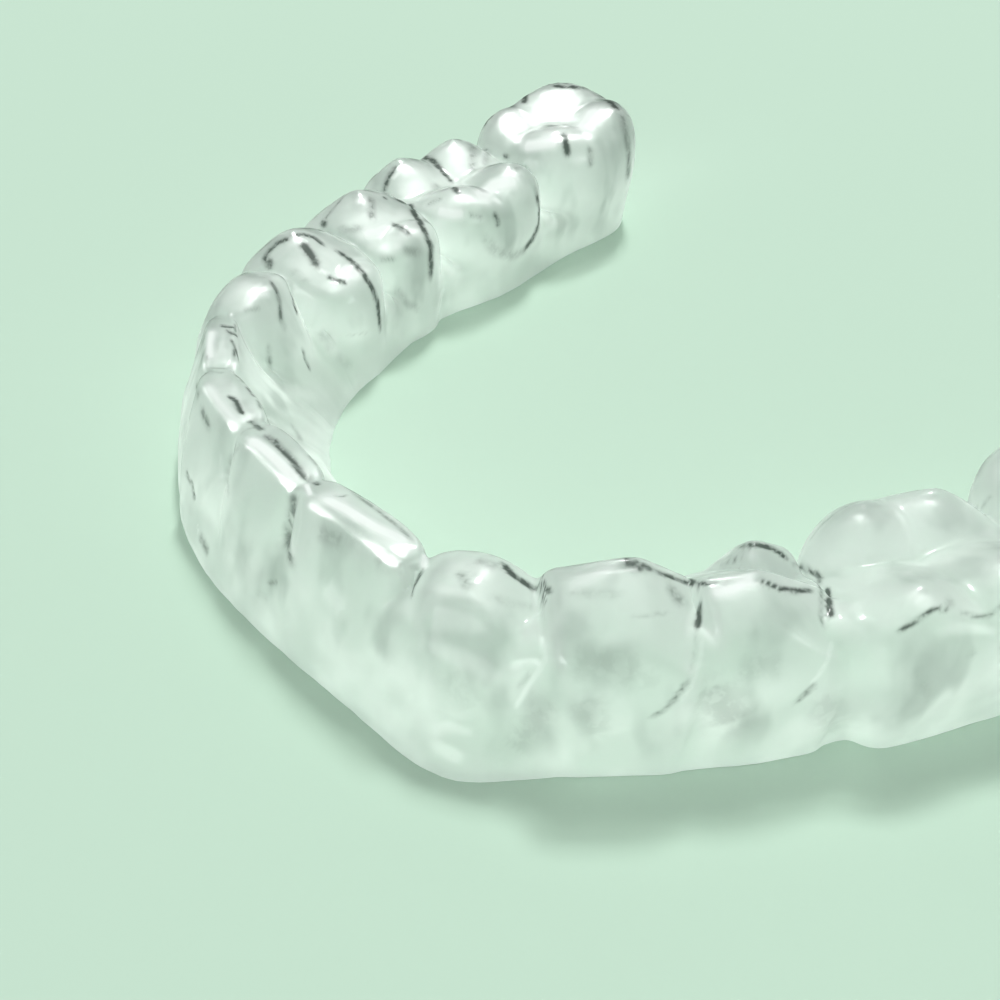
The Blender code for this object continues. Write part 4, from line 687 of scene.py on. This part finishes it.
def fine_radius(rows, angle, level, stride=4):
    """Radius on every ray, found near a coarse solution of every few rays."""
    ri = sorted(set(list(range(0, len(rows), stride)) + [len(rows) - 1]))
    ci = sorted(set(list(range(0, angle.shape[1], 3)) + [angle.shape[1] - 1]))
    rough = solve([rows[i] for i in ri], angle[np.ix_(ri, ci)], level, steps=14)
    part = np.stack([np.interp(np.arange(angle.shape[1]), ci, r) for r in rough])
    guess = np.stack([np.interp(np.arange(len(rows)), ri, part[:, j]) for j in range(angle.shape[1])], 1)
    return solve_near(rows, angle, level, guess)


def solve_near(rows, angle, level, guess, reach=0.55, steps=15):
    s, foot, outward, along, up = plane_axes(rows)
    radius = np.zeros(angle.shape)
    soft = 1.0 if level == 0 else SHARPER
    redo = []
    for i in range(0, len(rows), 24):
        sl = slice(i, min(i + 24, len(rows)))
        near = [k for k, t in enumerate(TEETH)
                if t["start"] - 7.5 < s[sl].max() and t["end"] + 7.5 > s[sl].min()]
        a = angle[sl]
        ray = np.cos(a)[..., None] * outward[sl][:, None, :] + np.sin(a)[..., None] * up[sl][:, None, :]
        base, tangent = foot[sl][:, None, :], along[sl][:, None, :]
        ss = np.broadcast_to(s[sl][:, None], a.shape)

        def value(r):
            offset = r[..., None] * ray
            return field(ss, r * np.cos(a), np.abs(np.sum(offset * tangent, -1)), base + offset, near, soft) - level

        low, high = guess[sl] - reach, guess[sl] + reach
        bad = (value(low) >= 0) | (value(high) < 0)
        for _ in range(steps):
            mid = (low + high) / 2
            inside = value(mid) < 0
            low, high = np.where(inside, mid, low), np.where(inside, high, mid)
        radius[sl] = (low + high) / 2
        redo += [i + k for k in np.nonzero(bad.any(1))[0]]
    for i in range(0, len(redo), 16):
        rr = redo[i:i + 16]
        full = solve([rows[k] for k in rr], angle[rr], level)
        radius[rr] = full
    return radius


def fine_angles(rows, columns):
    """The angles of a coarser sweep, spread evenly and carried over to every plane."""
    step = 3
    ri = sorted(set(list(range(0, len(rows), step)) + [len(rows) - 1]))
    coarse = spread_angles([rows[i] for i in ri], columns)
    return np.stack([np.interp(np.arange(len(rows)), ri, coarse[:, j]) for j in range(columns)], 1)


def painted_line_tone(points):
    """How strongly a painted line marks each point: 1 dark (painted shade), -1 pale (painted highlight), and the dip
    it makes (mm).
    """
    painted_shade = np.zeros(len(points))
    painted_highlight_marks = np.zeros(len(points))
    dip = np.zeros(len(points))
    for half, tone, line in PAINTED_LINES:
        line = np.array(line)
        reach = 2.2 * half + 0.1
        box = np.all((points > line.min(0) - reach) & (points < line.max(0) + reach), axis=1)
        ids = np.nonzero(box)[0]
        if not len(ids):
            continue
        p = points[ids]
        best = np.full(len(p), 1e9)
        along = np.zeros(len(p))
        total = max(len(line) - 1, 1)
        for k in range(len(line) - 1):
            a, d = line[k], line[k + 1] - line[k]
            t = np.clip(((p - a) @ d) / max(d @ d, 1e-9), 0, 1)
            gap = np.linalg.norm(p - a - t[:, None] * d, axis=1)
            closer = gap < best
            along = np.where(closer, (k + t) / total, along)
            best = np.minimum(best, gap)
        ends = np.clip(np.minimum(along, 1 - along) * 6 + 0.55, 0, 1) if total > 2 else 1.0
        mark = np.exp(-(best / half) ** 2 * 0.9) * ends
        mark[mark < 0.03] = 0
        if tone > 0:
            painted_shade[ids] = np.maximum(painted_shade[ids], mark * tone)
            if half < 0.25:
                dip[ids] = np.maximum(dip[ids], mark * 0.09 * tone)
        else:
            painted_highlight_marks[ids] = np.maximum(painted_highlight_marks[ids], -mark * tone)
    return painted_shade, painted_highlight_marks, dip


def zip_rows(a, b, points):
    """Triangles between two rows of points that run side by side."""
    def share(row):
        step = np.linalg.norm(np.diff(points[row], axis=0), axis=1)
        total = np.concatenate([[0], np.cumsum(step)])
        return total / total[-1]
    u, v = share(a), share(b)
    i = j = 0
    out = []
    while i < len(a) - 1 or j < len(b) - 1:
        if j == len(b) - 1 or (i < len(a) - 1 and u[i + 1] <= v[j + 1]):
            out.append([a[i], b[j], a[i + 1]])
            i += 1
        else:
            out.append([a[i], b[j], b[j + 1]])
            j += 1
    return out


def sheet(per_tooth, cap, columns):
    """Points (mm), faces and painted shade and highlight tones of the closed sheet; columns is (outer, inner)."""
    rows = planes(per_tooth, cap)
    tip = [r[1] for r in rows]
    upright = [i for i, a in enumerate(tip) if a == 0]
    first, last = upright[0], upright[-1]
    tables, clouds, tones, count = [], [], [], 0
    for level, seed, m in ((0.0, 11, columns[0]), (-WALL, 47, columns[1])):
        angle = fine_angles(rows, m)
        n = len(rows)
        keep = np.ones((n, m), bool)
        for j in (0, m - 1):
            keep[:first, j] = keep[last + 1:, j] = False
        points = on_rays(rows, angle, fine_radius(rows, angle, level))
        flat = points.reshape(-1, 3)
        uneven = 0.022 * ripple(flat, 3.2, 22, seed) + 0.012 * ripple(flat, 1.5, 22, seed + 1)
        base = on_rays(rows, angle, np.zeros(angle.shape)).reshape(-1, 3)
        ray = flat - base
        ray /= np.linalg.norm(ray, axis=1)[:, None]
        painted_shade = painted_highlight_marks = dip = np.zeros(len(flat))
        if level == 0:
            painted_shade, painted_highlight_marks, dip = painted_line_tone(flat)
        flat = flat + ray * (uneven - 0.03 - dip)[:, None]
        points = flat.reshape(points.shape)
        points[..., 2] = np.maximum(points[..., 2], 0)
        for i in (0, n - 1):
            points[i, :, 2] = 0
        for j in (0, m - 1):
            points[:, j, 2] = 0
        table = np.zeros((n, m), int)
        table[keep] = count + np.arange(keep.sum())
        for j in (0, m - 1):
            table[:first, j] = table[first, j]
            table[last + 1:, j] = table[last, j]
        tables.append(table)
        clouds.append(points[keep])
        tones.append(np.stack([painted_shade, painted_highlight_marks], -1).reshape(n, m, 2)[keep])
        count += int(keep.sum())
    outer, inner = tables
    cloud = np.concatenate(clouds)
    a, b, c, d = outer[:-1, :-1], outer[1:, :-1], outer[1:, 1:], outer[:-1, 1:]
    quads = [np.stack([a, b, c, d], -1).reshape(-1, 4)]
    a, b, c, d = inner[:-1, :-1], inner[:-1, 1:], inner[1:, 1:], inner[1:, :-1]
    quads.append(np.stack([a, b, c, d], -1).reshape(-1, 4))
    extra = []
    for edge, backwards in ((0, False), (-1, True)):
        p, q = outer[first:last + 1, edge], inner[first:last + 1, edge]
        if backwards:
            p, q = p[::-1], q[::-1]
        quads.append(np.stack([p[:-1], q[:-1], q[1:], p[1:]], -1))
    extra += zip_rows(outer[-1], inner[-1], cloud)
    extra += zip_rows(outer[0][::-1], inner[0][::-1], cloud)
    faces = []
    for f in np.concatenate(quads):
        ids = []
        for v in f:
            if v not in ids:
                ids.append(int(v))
        if len(ids) > 2:
            faces.append(ids)
    return cloud, faces + [[int(v) for v in f] for f in extra], np.concatenate(tones)


def make_sheet():
    verts, faces, tones = sheet(36, 22, (106, 60))
    place = (verts - np.array([ORIGIN[0], ORIGIN[1], 0.0])) * MM
    low, high = np.array(CAD_BOX[0]), np.array(CAD_BOX[1])
    place = np.clip(place, low + 1e-6, high - 1e-6)
    place[verts[:, 2] <= 0, 2] = low[2]
    mesh = bpy.data.meshes.new("aligner")
    mesh.from_pydata(place.tolist(), [], faces)
    mesh.update()
    # vertex layers: painted shade lines (dark) and painted highlights (pale)
    for k, name in enumerate(("crease", "painted_highlight")):
        layer = mesh.attributes.new(name, "FLOAT", "POINT")
        layer.data.foreach_set("value", tones[:, k].astype(np.float32))
    mesh.shade_smooth()
    mesh.set_sharp_from_angle(angle=math.radians(50))
    mesh.materials.append(clear_plastic())
    mesh.materials.append(cut_edge())
    z = place[:, 2]
    rim = [1 if max(z[v] for v in f) < low[2] + 2e-6 else 0 for f in faces]
    mesh.polygons.foreach_set("material_index", rim)
    obj = bpy.data.objects.new("aligner", mesh)
    bpy.context.scene.collection.objects.link(obj)
    return obj


# ------------------------------------------------------------ finish, with painted shade and highlights
def node(tree, kind, x, y, **values):
    n = tree.nodes.new(kind)
    n.location = (x, y)
    for name, value in values.items():
        if hasattr(n, name):
            setattr(n, name, value)
        else:
            n.inputs[name.replace("_", " ")].default_value = value
    return n


def clear_plastic():
    mat = bpy.data.materials.new("clear_plastic")
    mat.use_nodes = True
    tree = mat.node_tree
    tree.nodes.clear()
    link = tree.links.new

    def remap(value, x, y, low, high, to_low, to_high, smooth=True):
        n = node(tree, "ShaderNodeMapRange", x, y)
        if smooth:
            n.interpolation_type = "SMOOTHSTEP"
        for name, v in (("From Min", low), ("From Max", high), ("To Min", to_low), ("To Max", to_high)):
            n.inputs[name].default_value = v
        link(value, n.inputs["Value"])
        return n.outputs["Result"]

    def cloud(x, y, scale, detail, vector=None):
        n = node(tree, "ShaderNodeTexNoise", x, y)
        n.inputs["Scale"].default_value = scale
        n.inputs["Detail"].default_value = detail
        link(vector or coords.outputs["Object"], n.inputs["Vector"])
        return n.outputs["Fac"]

    def maths(x, y, operation, a, b, c=None):
        n = node(tree, "ShaderNodeMath", x, y, operation=operation)
        for k, v in enumerate((a, b, c)):
            if v is None:
                continue
            if isinstance(v, (int, float)):
                n.inputs[k].default_value = v
            else:
                link(v, n.inputs[k])
        return n.outputs[0]

    def blend(x, y, factor, a, b):
        n = node(tree, "ShaderNodeMix", x, y, data_type="RGBA")
        link(factor, n.inputs["Factor"])
        for name, v in (("A", a), ("B", b)):
            if isinstance(v, tuple):
                n.inputs[name].default_value = v + (1.0,)
            else:
                link(v, n.inputs[name])
        return n.outputs["Result"]

    def layer(name, x, y):
        n = node(tree, "ShaderNodeAttribute", x, y)
        n.attribute_type = "GEOMETRY"
        n.attribute_name = name
        return n.outputs["Fac"]

    coords = node(tree, "ShaderNodeTexCoord", -1800, 0)
    split = node(tree, "ShaderNodeSeparateXYZ", -1600, 200)
    link(coords.outputs["Object"], split.inputs[0])

    # satin towards the trimmed edge, polished over the crowns
    height = maths(-1400, 100, "MULTIPLY_ADD", cloud(-1600, 0, 260.0, 3.0), 0.0030, split.outputs["Z"])
    satin = remap(height, -1200, 100, 0.0062, 0.0112, 1.0, 0.0)
    rough = remap(satin, -900, 100, 0.0, 1.0, 0.29, 0.60, smooth=False)
    milky = remap(height, -1200, -80, 0.0040, 0.0085, 1.0, 0.62)
    patches = remap(cloud(-1600, -250, 380.0, 1.5), -1200, -250, 0.34, 0.66, 0.0, 1.0)
    share = maths(-900, -250, "MULTIPLY", milky, maths(-1050, -330, "MULTIPLY_ADD", patches, 0.18, 0.43))
    drawn = node(tree, "ShaderNodeMapping", -1800, -400)
    drawn.inputs["Scale"].default_value = (1.0, 1.0, 0.5)
    link(coords.outputs["Object"], drawn.inputs["Vector"])
    # painted shade: grey clouds, drawn out upwards, standing in for blurred refractions seen through the sheet; they
    # also thicken the haze
    painted_refraction_clouds = remap(cloud(-1600, -400, 330.0, 2.5, drawn.outputs[0]), -1200, -400, 0.47, 0.65, 0.0, 1.0)
    painted_refraction_clouds = maths(-900, -420, "MULTIPLY", painted_refraction_clouds, remap(split.outputs["Z"], -1050, -480, 0.0006, 0.0030, 0.15, 1.0))
    share = maths(-750, -250, "MULTIPLY_ADD", painted_refraction_clouds, 0.16, share)

    # painted shade: dark lines along creases, ridges and outlines; painted highlights: pale patches
    shade_line_breakup = remap(cloud(-1600, -700, 1700.0, 2.0), -1200, -700, 0.38, 0.56, 0.75, 1.0)
    crease = maths(-900, -700, "MULTIPLY", layer("crease", -1200, -850), shade_line_breakup)
    crease = remap(crease, -750, -700, 0.05, 0.80, 0.0, 0.95)
    # painted highlights: pale strokes that whiten the haze
    painted_highlight = remap(layer("painted_highlight", -1200, -1000), -900, -1000, 0.15, 0.85, 0.0, 1.0)
    weight = node(tree, "ShaderNodeLayerWeight", -1200, 500)
    weight.inputs["Blend"].default_value = 0.5
    # painted shade: darker where the surface turns edge-on, only over the upper crowns, broken up by noise
    edge = remap(weight.outputs["Facing"], -900, 500, 0.62, 0.95, 0.0, 0.80)
    broken = remap(cloud(-1200, 700, 650.0, 2.0), -900, 700, 0.42, 0.58, 0.10, 1.0)
    upper = remap(height, -1200, 350, 0.0075, 0.0100, 0.0, 1.0)
    edge = maths(-500, 500, "MULTIPLY", maths(-700, 500, "MULTIPLY", edge, broken), upper)
    painted_shade = maths(-350, 300, "MAXIMUM", edge, crease)

    fine = maths(-900, -600, "MULTIPLY_ADD", cloud(-1200, -650, 430.0, 1.0, drawn.outputs[0]), 4.0,
                 cloud(-1200, -550, 900.0, 4.0))
    bump = node(tree, "ShaderNodeBump", -600, -500)
    bump.inputs["Strength"].default_value = 0.40
    bump.inputs["Distance"].default_value = 0.00006
    link(fine, bump.inputs["Height"])

    bsdf = node(tree, "ShaderNodeBsdfPrincipled", 0, 100)
    bsdf.inputs["IOR"].default_value = 1.5
    bsdf.inputs["Transmission Weight"].default_value = 1.0
    bsdf.inputs["Coat Weight"].default_value = 0.4
    bsdf.inputs["Coat Roughness"].default_value = 0.10
    # painted shade darkens the glass colour
    link(blend(-300, 400, painted_shade, (0.97, 0.985, 0.975), (0.10, 0.13, 0.115)), bsdf.inputs["Base Color"])
    link(rough, bsdf.inputs["Roughness"])
    link(bump.outputs[0], bsdf.inputs["Normal"])

    milk = blend(-500, -250, patches, (0.57, 0.625, 0.59), (0.77, 0.82, 0.785))
    # painted shade: the haze turns grey in the clouds
    milk = blend(-400, -280, maths(-500, -400, "MULTIPLY", painted_refraction_clouds, 0.78), milk, (0.34, 0.40, 0.365))
    # painted shade: the haze colour is darker over the crowns
    crown = remap(height, -700, -450, 0.0045, 0.0080, 0.0, 0.50)
    milk = blend(-350, -290, crown, milk, (0.46, 0.53, 0.49))
    # painted highlights whiten the haze
    milk = blend(-300, -300, painted_highlight, milk, (0.97, 0.99, 0.98))
    # painted shade darkens the haze
    milk = blend(-100, -350, painted_shade, milk, (0.035, 0.05, 0.04))
    front = node(tree, "ShaderNodeBsdfDiffuse", 50, -350)
    link(milk, front.inputs["Color"])
    through = node(tree, "ShaderNodeBsdfTranslucent", 50, -500)
    link(milk, through.inputs["Color"])
    haze = node(tree, "ShaderNodeMixShader", 250, -400)
    haze.inputs[0].default_value = 0.4
    link(front.outputs[0], haze.inputs[1])
    link(through.outputs[0], haze.inputs[2])
    # painted shade and painted highlights thicken the haze
    share = maths(-300, -150, "MAXIMUM", share, maths(-500, -120, "MULTIPLY", painted_shade, 0.85))
    share = maths(-150, -150, "MAXIMUM", share, maths(-350, -50, "MULTIPLY", painted_highlight, 0.90))
    whole = node(tree, "ShaderNodeMixShader", 450, 0)
    link(share, whole.inputs[0])
    link(bsdf.outputs[0], whole.inputs[1])
    link(haze.outputs[0], whole.inputs[2])

    tint = node(tree, "ShaderNodeValToRGB", 200, 450)
    tint.color_ramp.elements[0].position = 0.0
    tint.color_ramp.elements[0].color = (0.84, 0.84, 0.83, 1)
    tint.color_ramp.elements[1].position = 1.0
    tint.color_ramp.elements[1].color = (0.52, 0.525, 0.52, 1)
    link(weight.outputs["Facing"], tint.inputs[0])
    see = node(tree, "ShaderNodeBsdfTransparent", 450, 400)
    low_part = remap(height, 200, 250, 0.0038, 0.0062, 0.03, 1.0)
    link(blend(350, 500, low_part, (0.0, 0.0, 0.0), tint.outputs[0]), see.inputs["Color"])
    path = node(tree, "ShaderNodeLightPath", 450, 650)
    mix = node(tree, "ShaderNodeMixShader", 700, 100)
    link(path.outputs["Is Shadow Ray"], mix.inputs[0])
    link(whole.outputs[0], mix.inputs[1])
    link(see.outputs[0], mix.inputs[2])
    out = node(tree, "ShaderNodeOutputMaterial", 950, 100)
    link(mix.outputs[0], out.inputs["Surface"])
    return mat


def cut_edge():
    """The trimmed edge that it stands on: ground matt."""
    mat = bpy.data.materials.new("cut_edge")
    mat.use_nodes = True
    tree = mat.node_tree
    bsdf = tree.nodes["Principled BSDF"]
    coords = node(tree, "ShaderNodeTexCoord", -900, 0)
    noise = node(tree, "ShaderNodeTexNoise", -700, 0)
    noise.inputs["Scale"].default_value = 1500.0
    tree.links.new(coords.outputs["Object"], noise.inputs["Vector"])
    mix = node(tree, "ShaderNodeMix", -400, 0, data_type="RGBA")
    mix.inputs["A"].default_value = (0.55, 0.66, 0.59, 1)
    mix.inputs["B"].default_value = (0.66, 0.76, 0.70, 1)
    tree.links.new(noise.outputs["Fac"], mix.inputs["Factor"])
    tree.links.new(mix.outputs["Result"], bsdf.inputs["Base Color"])
    bsdf.inputs["Roughness"].default_value = 0.6
    return mat


def floor_paint():
    mat = bpy.data.materials.new("floor_paint")
    mat.use_nodes = True
    tree = mat.node_tree
    bsdf = tree.nodes["Principled BSDF"]
    bsdf.inputs["Roughness"].default_value = 0.9
    bsdf.inputs["Specular IOR Level"].default_value = 0.1
    noise = node(tree, "ShaderNodeTexNoise", -600, 0)
    noise.inputs["Scale"].default_value = 30.0
    mix = node(tree, "ShaderNodeMix", -300, 0, data_type="RGBA")
    mix.inputs["A"].default_value = (0.470, 0.625, 0.512, 1)
    mix.inputs["B"].default_value = (0.474, 0.629, 0.516, 1)
    tree.links.new(noise.outputs["Fac"], mix.inputs["Factor"])
    tree.links.new(mix.outputs["Result"], bsdf.inputs["Base Color"])
    return mat


# ------------------------------------------------------------ stage, light, camera
AZ, EL = math.radians(53.657), math.radians(37.107)
TARGET = Vector(((1.055 - ORIGIN[0]) * MM, (12.655 - ORIGIN[1]) * MM, 0.0))
BACK = Vector((math.sin(AZ) * math.cos(EL), -math.cos(AZ) * math.cos(EL), math.sin(EL)))


def aim(obj, target):
    obj.rotation_euler = (obj.location - target).to_track_quat("Z", "Y").to_euler()


def make_stage():
    size = 6.0
    mesh = bpy.data.meshes.new("floor")
    mesh.from_pydata([(-size, -size, 0), (size, -size, 0), (size, size, 0), (-size, size, 0)], [], [(0, 1, 2, 3)])
    mesh.update()
    floor = bpy.data.objects.new("floor", mesh)
    floor.location.z = CAD_BOX[0][2] - 0.02 * MM
    bpy.context.scene.collection.objects.link(floor)
    mesh.materials.append(floor_paint())


def softbox(name, azimuth, elevation, distance, width, height, power, colour=(1, 1, 1)):
    light = bpy.data.lights.new(name, "AREA")
    light.shape = "RECTANGLE"
    light.size, light.size_y = width, height
    light.energy = power
    light.color = colour
    obj = bpy.data.objects.new(name, light)
    az, el = math.radians(azimuth), math.radians(elevation)
    obj.location = (math.sin(az) * math.cos(el) * distance, -math.cos(az) * math.cos(el) * distance,
                    math.sin(el) * distance)
    aim(obj, Vector((0, 0, 0.004)))
    bpy.context.scene.collection.objects.link(obj)
    return obj


def make_light():
    world = bpy.data.worlds.new("studio")
    bpy.context.scene.world = world
    world.use_nodes = True
    tree = world.node_tree
    tree.nodes.clear()
    coords = node(tree, "ShaderNodeTexCoord", -900, 0)
    split = node(tree, "ShaderNodeSeparateXYZ", -700, 0)
    tree.links.new(coords.outputs["Generated"], split.inputs[0])
    ramp = node(tree, "ShaderNodeValToRGB", -500, 0)
    ramp.color_ramp.elements[0].position = 0.05
    ramp.color_ramp.elements[0].color = (0.05, 0.07, 0.06, 1)
    ramp.color_ramp.elements[1].position = 0.22
    ramp.color_ramp.elements[1].color = (0.43, 0.447, 0.439, 1)
    tree.links.new(split.outputs["Z"], ramp.inputs[0])
    back = node(tree, "ShaderNodeBackground", -200, 0)
    tree.links.new(ramp.outputs[0], back.inputs["Color"])
    back.inputs["Strength"].default_value = 1.0
    out = node(tree, "ShaderNodeOutputWorld", 0, 0)
    tree.links.new(back.outputs[0], out.inputs["Surface"])
    softbox("key", 223, 56, 3.0, 0.42, 0.42, 66.0)
    softbox("glow", 53.657 + 180, 36, 3.0, 1.5, 0.6, 3.0)
    softbox("fill", 16, 12, 3.0, 1.6, 0.7, 46.0).data.use_shadow = False
    softbox("side", 118, 16, 3.0, 1.2, 0.7, 20.0).data.use_shadow = False
    scene = bpy.context.scene
    scene.view_settings.view_transform = "Standard"
    scene.cycles.caustics_reflective = True
    scene.cycles.caustics_refractive = True
    scene.cycles.max_bounces = 16
    scene.cycles.transmission_bounces = 16
    scene.cycles.glossy_bounces = 8
    scene.cycles.transparent_max_bounces = 24


def make_camera():
    cam = bpy.data.cameras.new("camera")
    cam.lens, cam.sensor_width = 45.0, 36.0
    cam.clip_start, cam.clip_end = 0.005, 10.0
    obj = bpy.data.objects.new("camera", cam)
    obj.location = TARGET + BACK * (73.193 * MM)
    obj.rotation_euler = BACK.to_track_quat("Z", "Y").to_euler()
    bpy.context.scene.collection.objects.link(obj)
    bpy.context.scene.camera = obj


aligner = make_sheet()
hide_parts("aligner_shell")
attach(aligner, "root")
make_stage()
make_light()
make_camera()
